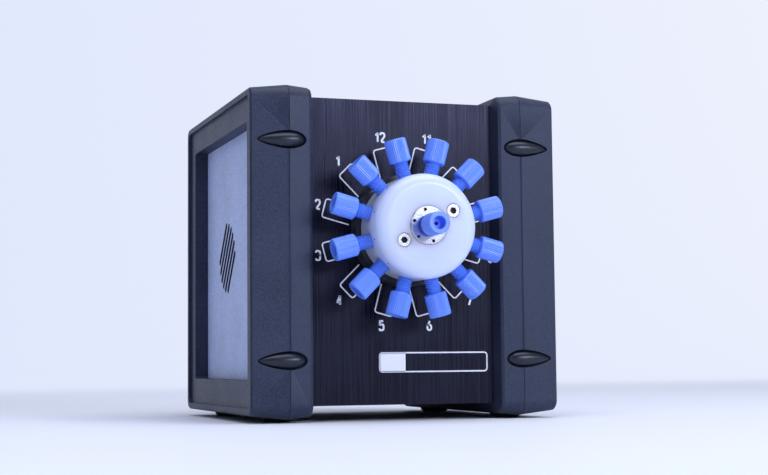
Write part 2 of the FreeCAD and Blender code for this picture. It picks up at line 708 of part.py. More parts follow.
def shaft_coupling():
    """Clamp coupling with cross slits, between the drive shaft and the motor shaft."""
    middle = COUPLING_START + COUPLING_LENGTH / 2
    end = COUPLING_START + COUPLING_LENGTH
    body = rod_y(COUPLING_R, (COUPLING_START, end))
    body = body.cut(rod_y(SHAFT_R, (COUPLING_START - 1, middle)))
    body = body.cut(rod_y(MOTOR_SHAFT_R, (middle - 1, end + 1)))
    for index in range(COUPLING_SLITS):
        y = middle + (index - (COUPLING_SLITS - 1) / 2) * 3 * COUPLING_SLIT
        side = 1 if index % 2 else -1
        reach = sorted((side * -COUPLING_R / 3, side * (COUPLING_R + 1)))
        slit = box(reach, (y, y + COUPLING_SLIT), (VALVE_Z - COUPLING_R - 1, VALVE_Z + COUPLING_R + 1))
        body = body.cut(slit)
    return body


def position_disc():
    """Slotted disc on the coupling, one window for each port."""
    y = (DISC_Y, DISC_Y + DISC_T)
    disc = tube_y(DISC_R, COUPLING_R, y)
    window = box(DISC_WINDOW_R, (y[0] - 1, y[1] + 1), around(0, DISC_WINDOW_W))
    for number in range(1, PORT_COUNT + 1):
        cutter = window.copy()
        cutter.rotate(Vector(0, 0, 0), Vector(0, -1, 0), port_angle(number))
        cutter.translate(Vector(0, 0, VALVE_Z))
        disc = disc.cut(cutter)
    return disc


def position_sensor():
    """Light fork over the disc's edge on a small board across the upper standoffs."""
    board_z = VALVE_Z + MOTOR_HOLE_PITCH / 2 + STANDOFF_FLATS / 2
    disc_top = VALVE_Z + DISC_R
    middle = DISC_Y + DISC_T / 2
    reach = SENSOR_GAP / 2 + SENSOR_ARM
    fork = box(around(0, SENSOR_W), (middle - reach, middle + reach), (disc_top - SENSOR_REACH, board_z))
    gap = box(
        around(0, SENSOR_W + 2),
        around(middle, SENSOR_GAP),
        (disc_top - SENSOR_REACH - 1, disc_top + SENSOR_CLEAR),
    )
    board = box(
        (-SENSOR_BOARD_X, SENSOR_BOARD_X),
        (ADAPTER_TUBE_LENGTH + SENSOR_BOARD_FRONT_GAP, MOTOR_FACE_Y - SENSOR_BOARD_REAR_GAP),
        (board_z, board_z + SENSOR_BOARD_T),
    )
    return fork.cut(gap).fuse(board)


def square_block(side, corner, y):
    """Square section with cut corners, between two depths on the valve's axis."""
    h = side / 2
    c = h - corner
    outline = [(c, -h), (h, -c), (h, c), (c, h), (-c, h), (-h, c), (-h, -c), (-c, -h)]
    points = [Vector(x, y[0], VALVE_Z + z) for x, z in outline]
    return Part.Face(Part.makePolygon(points + points[:1])).extrude(Vector(0, y[1] - y[0], 0))


def motor_body():
    """Stepper motor: two cast caps, laminated core, centring boss and plug socket."""
    end = MOTOR_FACE_Y + MOTOR_LENGTH
    body = square_block(MOTOR_SIDE, MOTOR_CORNER, (MOTOR_FACE_Y, MOTOR_FACE_Y + MOTOR_CAP))
    core_side = MOTOR_SIDE - 2 * MOTOR_CORE_STEP
    core = square_block(core_side, MOTOR_CORNER + 1, (MOTOR_FACE_Y + MOTOR_CAP, end - MOTOR_CAP))
    rear = square_block(MOTOR_SIDE, MOTOR_CORNER, (end - MOTOR_CAP, end))
    boss = rod_y(MOTOR_BOSS_R, (MOTOR_FACE_Y - MOTOR_BOSS_T, MOTOR_FACE_Y))
    socket = box(
        around(0, MOTOR_SOCKET_W),
        around(LEAD_Y, MOTOR_SOCKET_T),
        (MOTOR_SOCKET_Z, MOTOR_SOCKET_Z + MOTOR_SOCKET_H),
    )
    for piece in (core, rear, boss, socket):
        body = body.fuse(piece)
    shaft_hole = (MOTOR_FACE_Y - MOTOR_BOSS_T - 1, MOTOR_FACE_Y + MOTOR_SHAFT_INSIDE + FIT)
    body = body.cut(rod_y(MOTOR_SHAFT_R + RUN_GAP, shaft_hole))
    for x, z in motor_corners():
        hole = (MOTOR_FACE_Y - 1, MOTOR_FACE_Y + STUD_LENGTH + FIT)
        body = body.cut(rod_y(M3_R + TAPPED_GAP, hole, x, z))
    return body.removeSplitter()


def motor_shaft():
    start = COUPLING_START + COUPLING_LENGTH / 2
    return rod_y(MOTOR_SHAFT_R, (start, MOTOR_FACE_Y + MOTOR_SHAFT_INSIDE))


def motor_standoffs():
    """Hexagon posts with a stud at each end, from the adapter to the motor's face."""
    posts = []
    for x, z in motor_corners():
        corners = []
        for step in range(7):
            turn = math.radians(60 * step)
            radius = STANDOFF_FLATS / math.sqrt(3)
            corners.append(Vector(x + radius * math.cos(turn), PANEL_T, z + radius * math.sin(turn)))
        post = Part.Face(Part.makePolygon(corners)).extrude(Vector(0, MOTOR_FACE_Y - PANEL_T, 0))
        front = rod_y(M3_R, (PANEL_T - STUD_LENGTH, PANEL_T), x, z)
        rear = rod_y(M3_R, (MOTOR_FACE_Y, MOTOR_FACE_Y + STUD_LENGTH), x, z)
        posts.append(post.fuse(front).fuse(rear))
    return posts


def tie_bars():
    """Square bars from side panel to side panel, tapped for the frame screws."""
    bars = []
    for z in BAR_Z:
        for y in BAR_Y:
            bar = box(
                (-SIDE_PANEL_IN_X, SIDE_PANEL_IN_X), (y, y + BAR_SIDE), (z, z + BAR_SIDE)
            )
            for x in (-FRAME_SCREW_X, FRAME_SCREW_X):
                bar = bar.cut(rod_y(M3_R + TAPPED_GAP, (y - 1, y + BAR_SIDE + 1), x, z + BAR_SIDE / 2))
            bars.append(bar)
    return bars


def frame_screws():
    screws = []
    for z in (PLUG_LOW_Z, PLUG_HIGH_Z):
        screw = socket_screw(FRAME_SCREW_LENGTH)
        screw.translate(Vector(FRAME_SCREW_X, M3_HEAD_H - PLUG_SEAT, z))
        screws += [screw, mirrored(screw), back_twin(screw), mirrored(back_twin(screw))]
    return screws


def rubber_feet():
    feet = []
    for x in (-FRAME_RIDGE_X, FRAME_RIDGE_X):
        for y in FOOT_Y:
            foot = Part.makeCylinder(FOOT_R, FOOT_TOP_Z - FLOOR_Z, Vector(x, y, FLOOR_Z))
            rim = [edge for edge in foot.Edges if edge.BoundBox.ZMax < FLOOR_Z + 0.1]
            feet.append(foot.makeChamfer(FOOT_BEVEL, rim))
    return feet


def control_board():
    """Circuit board with its processor, drivers, terminals, capacitors and lead header."""
    y = (INSIDE_Y[0] + BOARD_MARGIN, INSIDE_Y[1] - BOARD_MARGIN)
    board = box((-BOARD_X, BOARD_X), y, (BOARD_Z, BOARD_TOP_Z))
    blocks = [(PROCESSOR_AT, PROCESSOR_SIDE, PROCESSOR_SIDE, PROCESSOR_H)]
    blocks += [(place, DRIVER_SIDE, DRIVER_SIDE, DRIVER_H) for place in DRIVER_AT]
    blocks += [(place, TERMINAL_W, TERMINAL_LENGTH, TERMINAL_H) for place in TERMINAL_AT]
    blocks.append(((0, LEAD_Y - LEAD_SHIFT), LEAD_HEADER_W, LEAD_HEADER_T, LEAD_HEADER_H))
    for place, width, depth, height in blocks:
        z = (BOARD_TOP_Z, BOARD_TOP_Z + height)
        board = board.fuse(box(around(place[0], width), around(place[1], depth), z))
    for x, depth in CAPACITOR_AT:
        can = Part.makeCylinder(CAPACITOR_R, CAPACITOR_H, Vector(x, depth, BOARD_TOP_Z))
        board = board.fuse(can)
    return board


def motor_lead():
    """Short lead in an S from the motor's socket down to the header on the board."""
    drop = MOTOR_SOCKET_Z - BOARD_TOP_Z - LEAD_HEADER_H
    turn = 2 * math.atan(LEAD_SHIFT / drop)
    bend = drop / (2 * math.sin(turn))
    upper = Part.makeCircle(LEAD_R, Vector(0, LEAD_Y, MOTOR_SOCKET_Z), Vector(0, 0, 1))
    lower_y = LEAD_Y - LEAD_SHIFT
    lower_z = MOTOR_SOCKET_Z - drop
    lower = Part.makeCircle(LEAD_R, Vector(0, lower_y, lower_z), Vector(0, 0, 1))
    halves = []
    for circle, centre in (
        (upper, Vector(0, LEAD_Y - bend, MOTOR_SOCKET_Z)),
        (lower, Vector(0, lower_y + bend, lower_z)),
    ):
        disc = Part.Face(Part.Wire(circle))
        halves.append(disc.revolve(centre, Vector(-1, 0, 0), math.degrees(turn)))
    return halves[0].fuse(halves[1]).removeSplitter()


def board_posts():
    posts = []
    for x in (-BOARD_POST_X, BOARD_POST_X):
        for y in BAR_Y:
            base = Vector(x, y + BAR_SIDE / 2, BOARD_Z - BOARD_RISE)
            posts.append(Part.makeCylinder(BOARD_POST_R, BOARD_RISE, base))
    return posts


def usb_socket():
    """Square data socket with its tongue."""
    low = BOARD_TOP_Z
    end = CASE_DEPTH + SOCKET_PROUD
    body = box(around(USB_X, USB_W), (end - USB_LENGTH, end), (low, low + USB_H))
    mouth_x = around(USB_X, USB_W - 2 * USB_WALL)
    mouth_z = (low + USB_WALL, low + USB_H - USB_WALL)
    body = body.cut(box(mouth_x, (end - USB_SOCKET_DEPTH, end + 1), mouth_z))
    tongue_z = around(low + USB_H / 2, USB_TONGUE_H)
    tongue = box(around(USB_X, USB_TONGUE_W), (end - USB_SOCKET_DEPTH, end - 1), tongue_z)
    return body.fuse(tongue)


def power_socket():
    """Round low-voltage inlet with its centre pin."""
    low = BOARD_TOP_Z
    end = CASE_DEPTH + SOCKET_PROUD
    middle = low + POWER_H / 2
    body = box(around(POWER_X, POWER_W), (end - POWER_LENGTH, end), (low, low + POWER_H))
    body = body.cut(rod_y(POWER_HOLE_R, (end - POWER_HOLE_DEPTH, end + 1), POWER_X, middle))
    return body.fuse(rod_y(POWER_PIN_R, (end - POWER_HOLE_DEPTH, end - 1), POWER_X, middle))


def switch_pivot():
    return Vector(SWITCH_X, CASE_DEPTH + SWITCH_BEZEL_T - PIVOT_DEPTH, SWITCH_Z)


def switch_body():
    """Snap-in housing with a bezel, open to the rear for the rocker."""
    face = CASE_DEPTH + SWITCH_BEZEL_T
    bezel = box(
        around(SWITCH_X, SWITCH_BEZEL_W), (CASE_DEPTH, face), around(SWITCH_Z, SWITCH_BEZEL_H)
    )
    rim = [edge for edge in bezel.Edges if edge.BoundBox.YMin > CASE_DEPTH + 1]
    bezel = bezel.makeChamfer(SWITCH_BEZEL_CHAMFER, rim)
    housing = box(
        around(SWITCH_X, SWITCH_BODY_W),
        (face - SWITCH_BODY_LENGTH, CASE_DEPTH),
        around(SWITCH_Z, SWITCH_BODY_H),
    )
    hollow = box(
        around(SWITCH_X, SWITCH_BODY_W - 2 * SWITCH_WALL),
        (face - SWITCH_BODY_LENGTH + SWITCH_WALL, face + 1),
        around(SWITCH_Z, SWITCH_BODY_H - 2 * SWITCH_WALL),
    )
    pivot = switch_pivot()
    bore_x = SWITCH_BODY_W / 2 - SWITCH_WALL / 3
    bore = Part.makeCylinder(
        PIVOT_R + RUN_GAP, 2 * bore_x, pivot - Vector(bore_x, 0, 0), Vector(1, 0, 0)
    )
    return bezel.fuse(housing).cut(hollow).cut(bore)


def power_switch():
    """Rocker with a dished face, tipped to its lower side at rest."""
    half_x = SWITCH_BODY_W / 2 - SWITCH_WALL - ROCKER_GAP
    profile = [
        (ROCKER_TOP, -ROCKER_HALF_H),
        (ROCKER_TOP - ROCKER_DIP, 0),
        (ROCKER_TOP, ROCKER_HALF_H),
        (0, ROCKER_HALF_H),
        (-ROCKER_SKIRT, 0),
        (0, -ROCKER_HALF_H),
    ]
    points = [Vector(-half_x, y, z) for y, z in profile]
    rocker = Part.Face(Part.makePolygon(points + points[:1])).extrude(Vector(2 * half_x, 0, 0))
    pin_x = SWITCH_BODY_W / 2 - SWITCH_WALL / 2
    pin = Part.makeCylinder(PIVOT_R, 2 * pin_x, Vector(-pin_x, 0, 0), Vector(1, 0, 0))
    rocker = rocker.fuse(pin)
    rocker.rotate(Vector(0, 0, 0), Vector(1, 0, 0), -ROCKER_TILT)
    rocker.translate(switch_pivot())
    return rocker


def cover(z):
    return box((-PANEL_EDGE_X, PANEL_EDGE_X), INSIDE_Y, z)


right_frame = side_frame()
right_panel = side_panel()
upper_plug = at_height(frame_plug(), PLUG_HIGH_Z)
lower_plug = at_height(frame_plug(), PLUG_LOW_Z)
right_plugs = [upper_plug, lower_plug, back_twin(upper_plug), back_twin(lower_plug)]

save("right_side_frame", [right_frame])
save("left_side_frame", [mirrored(right_frame)])
save("right_side_panel", [right_panel])
save("left_side_panel", [mirrored(right_panel)])
save("right_frame_plugs", right_plugs)
save("left_frame_plugs", [mirrored(plug) for plug in right_plugs])
save("front_panel", [front_panel()])
save("rear_panel", [rear_panel()])
save("bottom_cover", [cover((0, COVER_T))])
save("top_cover", [cover((PANEL_HEIGHT - COVER_T, PANEL_HEIGHT))])
save("tie_bars", tie_bars())
save("frame_screws", frame_screws())
save("rubber_feet", rubber_feet())

save("valve_adapter", [valve_adapter()])
save("valve_body", [valve_body()])
save("valve_screws", valve_screws())
save("port_insert", [port_insert()])
save("rotor_seal", [rotor_seal()])
save("drive_shaft", [drive_shaft()])
save("spring_washers", spring_washers())
save("shaft_bearings", shaft_bearings())

save("shaft_coupling", [shaft_coupling()])
save("position_disc", [position_disc()])
save("position_sensor", [position_sensor()])
save("motor_body", [motor_body()])
save("motor_shaft", [motor_shaft()])
save("motor_standoffs", motor_standoffs())
save("motor_lead", [motor_lead()])

save("control_board", [control_board()])
save("board_posts", board_posts())
save("usb_socket", [usb_socket()])
save("power_socket", [power_socket()])
save("switch_body", [switch_body()])
save("power_switch", [power_switch()])

nut = fitting_nut()
ferrule = fitting_ferrule()
for port in range(1, PORT_COUNT + 1):
    save("port_%d_nut" % port, [in_port(nut, port)])
    save("port_%d_ferrule" % port, [in_port(ferrule, port)])
save("common_port_nut", [in_common_port(nut)])
save("common_port_ferrule", [in_common_port(ferrule)])
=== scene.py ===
# %% [markdown]
# This notebook dresses a twelve-way distribution valve. The construction comes from a packed
# frame, whose pieces are at their real size and place, in metres. A lesson in good looks is
# then mostly a lesson in finishes and in the small forms that a plain solid lacks: threads,
# knurled heads, printed marks and rounded edges.

import json
import math

import bmesh
import bpy
from mathutils import Matrix, Vector


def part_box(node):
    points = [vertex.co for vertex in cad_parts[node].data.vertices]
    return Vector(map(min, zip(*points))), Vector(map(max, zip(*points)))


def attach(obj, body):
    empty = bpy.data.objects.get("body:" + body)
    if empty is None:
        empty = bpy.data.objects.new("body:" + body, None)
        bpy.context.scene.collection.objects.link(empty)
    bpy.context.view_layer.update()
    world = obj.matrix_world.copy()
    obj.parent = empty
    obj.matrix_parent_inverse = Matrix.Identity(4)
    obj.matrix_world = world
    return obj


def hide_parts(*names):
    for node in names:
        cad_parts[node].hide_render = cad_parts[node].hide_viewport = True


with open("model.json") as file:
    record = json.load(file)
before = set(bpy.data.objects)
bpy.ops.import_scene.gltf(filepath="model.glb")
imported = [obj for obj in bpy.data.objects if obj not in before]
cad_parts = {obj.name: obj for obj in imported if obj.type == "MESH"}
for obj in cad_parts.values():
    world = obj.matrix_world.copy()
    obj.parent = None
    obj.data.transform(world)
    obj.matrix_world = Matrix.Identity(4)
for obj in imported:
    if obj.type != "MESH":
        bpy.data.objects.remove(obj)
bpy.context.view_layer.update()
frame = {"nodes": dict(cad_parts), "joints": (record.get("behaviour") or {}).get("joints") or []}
nodes = frame["nodes"]
joints = {joint["name"]: joint for joint in frame["joints"]}
MM = 0.001

# %% [markdown]
# A few places are read off the frame instead of being typed again: the valve's axis is the
# middle of its body, and every fitting's own joint says where its port's floor is and which
# way it points. When the frame changes, these follow.

# %% Places from the frame
valve_low, valve_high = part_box("valve_body")
VALVE_CENTRE = (valve_low + valve_high) / 2
VALVE_R = (valve_high.z - valve_low.z) / 2
PANEL_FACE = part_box("front_panel")[0].y
PORTS = 12
PORT_STEP = 2 * math.pi / PORTS
first_axis = joints["port_1_turn"]["axis"]
FIRST_ANGLE = math.atan2(first_axis[2], first_axis[0])
nut_low, nut_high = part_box("common_port_nut")
NUT_LENGTH = nut_high.y - nut_low.y
NUT_R = (nut_high.x - nut_low.x) / 2
NUT_START = joints["common_port_turn"]["pos_m"][1] - nut_high.y
print("valve radius", round(VALVE_R / MM, 2), "nut", round(NUT_LENGTH / MM, 2))

# %% [markdown]
# Small helpers keep the later cells short. A new mesh is made from plain lists of points and
# faces, and its outside is recalculated so that its faces point outwards. Smooth shading with
# an angle limit keeps true edges crisp.

# %% Mesh helpers
SMOOTH_ANGLE = math.radians(32)


def finish_mesh(mesh, recalculate=True):
    """Merge doubles, point the faces outwards and shade smooth up to the angle."""
    work = bmesh.new()
    work.from_mesh(mesh)
    bmesh.ops.remove_doubles(work, verts=work.verts, dist=1e-7)
    if recalculate:
        bmesh.ops.recalc_face_normals(work, faces=work.faces)
    for face in work.faces:
        face.smooth = True
    for edge in work.edges:
        angle = edge.calc_face_angle(0.0) if len(edge.link_faces) == 2 else 0.0
        edge.smooth = angle < SMOOTH_ANGLE
    work.to_mesh(mesh)
    work.free()
    mesh.update()


def piece(name, points, faces, material, body="root"):
    """A finished mesh object that rides on a body."""
    mesh = bpy.data.meshes.new(name)
    mesh.from_pydata([tuple(point) for point in points], [], faces)
    finish_mesh(mesh)
    mesh.materials.append(material)
    made = bpy.data.objects.new(name, mesh)
    bpy.context.scene.collection.objects.link(made)
    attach(made, body)
    return made


def ring_faces(rings, around, closed):
    """Quads between rings of points; a closed set joins the last ring to the first."""
    faces = []
    spans = rings if closed else rings - 1
    for i in range(spans):
        for j in range(around):
            a = i * around + j
            b = i * around + (j + 1) % around
            c = ((i + 1) % rings) * around + (j + 1) % around
            d = ((i + 1) % rings) * around + j
            faces.append((a, b, c, d))
    return faces


def lathe_points(profile, around):
    """Rings of points round the X axis for (along, radius) pairs."""
    points = []
    for along, radius in profile:
        for j in range(around):
            turn = 2 * math.pi * j / around
            points.append(Vector((along, radius * math.cos(turn), radius * math.sin(turn))))
    return points


def along_axis(origin, axis):
    """Matrix that takes the X axis to a given axis, starting at the origin point."""
    turn = Vector((1, 0, 0)).rotation_difference(Vector(axis)).to_matrix().to_4x4()
    return Matrix.Translation(Vector(origin)) @ turn


# %% [markdown]
# Effects that several finishes share are node groups, built once. Moulded plastic has a fine
# pebble grain from the spark-eroded tool, so one group gives a mottled tone, an uneven
# roughness and a bump. It reads Object coordinates: the pattern keeps its real size on every
# piece, and stays in place when a view or a pose changes.

# %% Shared node groups


def new_group(name, inputs, outputs):
    """A shader group with named inputs (name, kind, value) and outputs (name, kind)."""
    group = bpy.data.node_groups.new(name, "ShaderNodeTree")
    for label, kind, value in inputs:
        socket = group.interface.new_socket(label, in_out="INPUT", socket_type=kind)
        socket.default_value = value
    for label, kind in outputs:
        group.interface.new_socket(label, in_out="OUTPUT", socket_type=kind)
    entry = group.nodes.new("NodeGroupInput")
    leave = group.nodes.new("NodeGroupOutput")
    return group, entry, leave


def math_node(tree, operation, first, second=None):
    """A math node whose inputs are sockets or plain numbers."""
    node = tree.nodes.new("ShaderNodeMath")
    node.operation = operation
    for index, value in enumerate((first, second)):
        if value is None:
            continue
        if isinstance(value, (int, float)):
            node.inputs[index].default_value = value
        else:
            tree.links.new(value, node.inputs[index])
    return node.outputs[0]


def noise(tree, coordinates, scale, detail=2.0, roughness=0.5):
    node = tree.nodes.new("ShaderNodeTexNoise")
    tree.links.new(coordinates, node.inputs["Vector"])
    if isinstance(scale, (int, float)):
        node.inputs["Scale"].default_value = scale
    else:
        tree.links.new(scale, node.inputs["Scale"])
    node.inputs["Detail"].default_value = detail
    node.inputs["Roughness"].default_value = roughness
    return node.outputs["Fac"]


def toned(tree, colour, amount):
    """A colour made lighter or darker by a factor around one."""
    node = tree.nodes.new("ShaderNodeVectorMath")
    node.operation = "SCALE"
    tree.links.new(colour, node.inputs[0])
    tree.links.new(amount, node.inputs["Scale"])
    return node.outputs[0]


def bump(tree, height, strength, distance):
    node = tree.nodes.new("ShaderNodeBump")
    tree.links.new(height, node.inputs["Height"])
    tree.links.new(strength, node.inputs["Strength"])
    node.inputs["Distance"].default_value = distance
    return node.outputs["Normal"]


SURFACE_INPUTS = [
    ("Colour", "NodeSocketColor", (0.5, 0.5, 0.5, 1.0)),
    ("Contrast", "NodeSocketFloat", 0.1),
    ("Scale", "NodeSocketFloat", 3000.0),
    ("Roughness", "NodeSocketFloat", 0.5),
    ("Spread", "NodeSocketFloat", 0.1),
    ("Relief", "NodeSocketFloat", 0.2),
]
SURFACE_OUTPUTS = [
    ("Colour", "NodeSocketColor"),
    ("Roughness", "NodeSocketFloat"),
    ("Normal", "NodeSocketVector"),
]


def surface_group(name, stretch, distance, detail):
    """Tone, roughness and bump from noise; the stretch draws the grain out into lines."""
    group, entry, leave = new_group(name, SURFACE_INPUTS, SURFACE_OUTPUTS)
    place = group.nodes.new("ShaderNodeTexCoord")
    mapping = group.nodes.new("ShaderNodeMapping")
    mapping.inputs["Scale"].default_value = stretch
    group.links.new(place.outputs["Object"], mapping.inputs["Vector"])
    spot = mapping.outputs["Vector"]
    fine = noise(group, spot, entry.outputs["Scale"], detail)
    broad = noise(group, place.outputs["Object"], 45.0, 3.0)
    fine_share = math_node(group, "MULTIPLY", fine, 0.7)
    mixed = math_node(group, "ADD", fine_share, math_node(group, "MULTIPLY", broad, 0.3))
    centred = math_node(group, "SUBTRACT", mixed, 0.5)
    tone = math_node(group, "MULTIPLY", centred, entry.outputs["Contrast"])
    tone = math_node(group, "ADD", math_node(group, "MULTIPLY", tone, 2.0), 1.0)
    group.links.new(toned(group, entry.outputs["Colour"], tone), leave.inputs["Colour"])
    rough = math_node(group, "MULTIPLY", centred, entry.outputs["Spread"])
    rough = math_node(group, "ADD", math_node(group, "MULTIPLY", rough, 2.0), entry.outputs["Roughness"])
    group.links.new(rough, leave.inputs["Roughness"])
    group.links.new(bump(group, fine, entry.outputs["Relief"], distance), leave.inputs["Normal"])
    return group


PEBBLE = surface_group("pebble_grain", (1, 1, 1), 0.00014, 2.0)
BRUSH = surface_group("upright_brush_lines", (1, 1, 0.012), 0.00003, 3.0)
TURNED = surface_group("turning_marks", (1, 1, 1), 0.00002, 4.0)
print("groups", [group.name for group in bpy.data.node_groups])

# %% [markdown]
# Each finish is a Principled shader fed by one of the groups. Values that are the same all
# over, such as metalness or a coat, sit on the shader's own sockets, because only those
# survive the export. The names are those of the finishes on the real object, except the
# last, which is painted shade.

# %% Finishes


def finish(name, group, colour, roughness, contrast=0.1, scale=3000.0, spread=0.1, relief=0.2, **plain):
    material = bpy.data.materials.new(name)
    material.use_nodes = True
    tree = material.node_tree
    shader = tree.nodes["Principled BSDF"]
    effect = tree.nodes.new("ShaderNodeGroup")
    effect.node_tree = group
    values = (("Colour", (*colour, 1.0)), ("Contrast", contrast), ("Scale", scale))
    values += (("Roughness", roughness), ("Spread", spread), ("Relief", relief))
    for label, value in values:
        effect.inputs[label].default_value = value
    tree.links.new(effect.outputs["Colour"], shader.inputs["Base Color"])
    tree.links.new(effect.outputs["Roughness"], shader.inputs["Roughness"])
    tree.links.new(effect.outputs["Normal"], shader.inputs["Normal"])
    for label, value in plain.items():
        shader.inputs[label.replace("_", " ")].default_value = value
    material.diffuse_color = (*colour, 1.0)
    return material


moulded_black = finish(
    "moulded_black", PEBBLE, (0.02, 0.025, 0.052), 0.5, 1.3, 1250.0, 0.3, 0.6,
    Specular_IOR_Level=0.44, Specular_Tint=(0.68, 0.78, 1.0, 1.0),
)
satin_black = finish(
    "satin_black", PEBBLE, (0.008, 0.010, 0.018), 0.3, 0.5, 2200.0, 0.1, 0.15,
    Specular_IOR_Level=0.5, Specular_Tint=(0.75, 0.85, 1.0, 1.0),
)
brushed_black = finish(
    "brushed_black", BRUSH, (0.004, 0.004, 0.010), 0.3, 1.6, 1900.0, 0.5, 0.9,
    Specular_IOR_Level=0.24, Specular_Tint=(0.62, 0.65, 1.0, 1.0),
)
powder_black = finish("powder_black", PEBBLE, (0.018, 0.02, 0.032), 0.5, 0.3, 2000.0, 0.1, 0.6)
panel_grey = finish("panel_grey", PEBBLE, (0.435, 0.515, 0.77), 0.55, 0.6, 1000.0, 0.1, 0.4)
foot_rubber = finish("foot_rubber", PEBBLE, (0.008, 0.008, 0.012), 0.7, 0.2, 2500.0, 0.1, 0.4)
valve_white = finish(
    "valve_white", PEBBLE, (0.585, 0.655, 0.925), 0.3, 0.03, 900.0, 0.05, 0.02,
    Subsurface_Weight=0.85, Subsurface_Radius=(0.7, 0.85, 1.0), Subsurface_Scale=0.01,
)
adapter_black = finish("adapter_black", TURNED, (0.02, 0.022, 0.035), 0.38, 0.15, 1500.0, 0.1, 0.1)
fitting_blue = finish(
    "fitting_blue", PEBBLE, (0.105, 0.255, 0.95), 0.36, 0.05, 1800.0, 0.06, 0.08,
    Subsurface_Weight=0.25, Subsurface_Radius=(0.15, 0.3, 1.0), Subsurface_Scale=0.0015,
    Specular_IOR_Level=0.85,
)
ferrule_white = finish("ferrule_white", PEBBLE, (0.8, 0.8, 0.76), 0.4, 0.05)
collar_steel = finish(
    "collar_steel", TURNED, (0.5, 0.51, 0.6), 0.24, 0.12, 2200.0, 0.08, 0.08, Metallic=1.0,
)
screw_steel = finish(
    "screw_steel", TURNED, (0.72, 0.73, 0.78), 0.2, 0.12, 1800.0, 0.06, 0.05, Metallic=1.0,
)
shaft_steel = finish(
    "shaft_steel", TURNED, (0.5, 0.5, 0.52), 0.22, 0.1, 2600.0, 0.1, 0.08, Metallic=1.0,
)
bare_aluminium = finish(
    "bare_aluminium", TURNED, (0.7, 0.71, 0.73), 0.35, 0.12, 1600.0, 0.1, 0.12, Metallic=1.0,
)
seal_brown = finish("seal_brown", PEBBLE, (0.16, 0.13, 0.11), 0.45, 0.15)
motor_black = finish("motor_black", PEBBLE, (0.03, 0.03, 0.033), 0.42, 0.15, 1800.0)
disc_black = finish("disc_black", PEBBLE, (0.02, 0.02, 0.022), 0.5, 0.1)
board_green = finish("board_green", PEBBLE, (0.02, 0.14, 0.06), 0.35, 0.2, 700.0, 0.1, 0.1)
post_white = finish("post_white", PEBBLE, (0.78, 0.78, 0.72), 0.45, 0.05)
socket_steel = finish("socket_steel", TURNED, (0.6, 0.6, 0.62), 0.3, 0.1, 1500.0, 0.1, 0.1, Metallic=1.0)
socket_black = finish("socket_black", PEBBLE, (0.02, 0.02, 0.022), 0.45, 0.1)
switch_black = finish("switch_black", PEBBLE, (0.018, 0.018, 0.02), 0.22, 0.05, 2500.0, 0.05, 0.05)
print_white = finish("print_white", PEBBLE, (0.80, 0.83, 0.93), 0.45, 0.08, 2600.0, 0.1, 0.1)
# Painted shade: a dark colour for sockets, holes and the mould line's groove, where little light reaches.
painted_recess_shade = finish("painted_recess_shade", PEBBLE, (0.012, 0.014, 0.03), 0.6, 0.1)
print("finishes", len(bpy.data.materials))

# %% [markdown]
# The side plate's vent slots are narrow, and the shade inside them is painted: a mask from the
# surface's own normal tells the face from the cut edges, and the cut edges get a dark colour.
# The mask does not depend on the camera: the same faces are grey from every side.

# %% Grey side plate with painted slot shade


def film_on_dark(name, base):
    material = base.copy()
    material.name = name
    tree = material.node_tree
    shader = tree.nodes["Principled BSDF"]
    effect = next(node for node in tree.nodes if node.type == "GROUP")
    shape = tree.nodes.new("ShaderNodeNewGeometry")
    split = tree.nodes.new("ShaderNodeSeparateXYZ")
    tree.links.new(shape.outputs["True Normal"], split.inputs[0])
    flat = math_node(tree, "GREATER_THAN", math_node(tree, "ABSOLUTE", split.outputs["X"]), 0.7)
    painted_slot_shade_mix = tree.nodes.new("ShaderNodeMix")
    painted_slot_shade_mix.data_type = "RGBA"
    tree.links.new(flat, painted_slot_shade_mix.inputs["Factor"])
    # Painted shade: the dark colour of the slots' cut edges.
    painted_slot_shade_mix.inputs["A"].default_value = (0.012, 0.013, 0.02, 1.0)
    tree.links.new(effect.outputs["Colour"], painted_slot_shade_mix.inputs["B"])
    tree.links.new(painted_slot_shade_mix.outputs["Result"], shader.inputs["Base Color"])
    return material


grey_painted_slot_shade = film_on_dark("grey_painted_slot_shade", panel_grey)

# %% [markdown]
# Pieces whose solid already has the right shape keep it. They are only given their finish,
# by replacing the material slots of the frame's own objects.

# %% Dress the plain nodes
PLAIN = {
    "front_panel": brushed_black,
    "rear_panel": powder_black,
    "top_cover": powder_black,
    "bottom_cover": powder_black,
    "tie_bars": bare_aluminium,
    "frame_screws": screw_steel,
    "rotor_seal": seal_brown,
    "drive_shaft": shaft_steel,
    "spring_washers": shaft_steel,
    "shaft_bearings": shaft_steel,
    "shaft_coupling": bare_aluminium,
    "position_disc": disc_black,
    "position_sensor": disc_black,
    "motor_body": motor_black,
    "motor_shaft": shaft_steel,
    "motor_standoffs": bare_aluminium,
    "motor_lead": foot_rubber,
    "control_board": board_green,
    "board_posts": post_white,
    "usb_socket": socket_steel,
    "power_socket": socket_black,
}
for name, material in PLAIN.items():
    nodes[name].data.materials.clear()
    nodes[name].data.materials.append(material)
for name in nodes:
    if name.endswith("_ferrule"):
        nodes[name].data.materials.clear()
        nodes[name].data.materials.append(ferrule_white)

# %% [markdown]
# Other pieces need softer edges than the solid has. A copy of the node's mesh has its loose
# triangles merged and flat areas dissolved, gets a small bevel on its sharp edges, and then
# stands for the node. The bevel is what catches the light along the edges of a moulding.

# %% Copies with softened edges


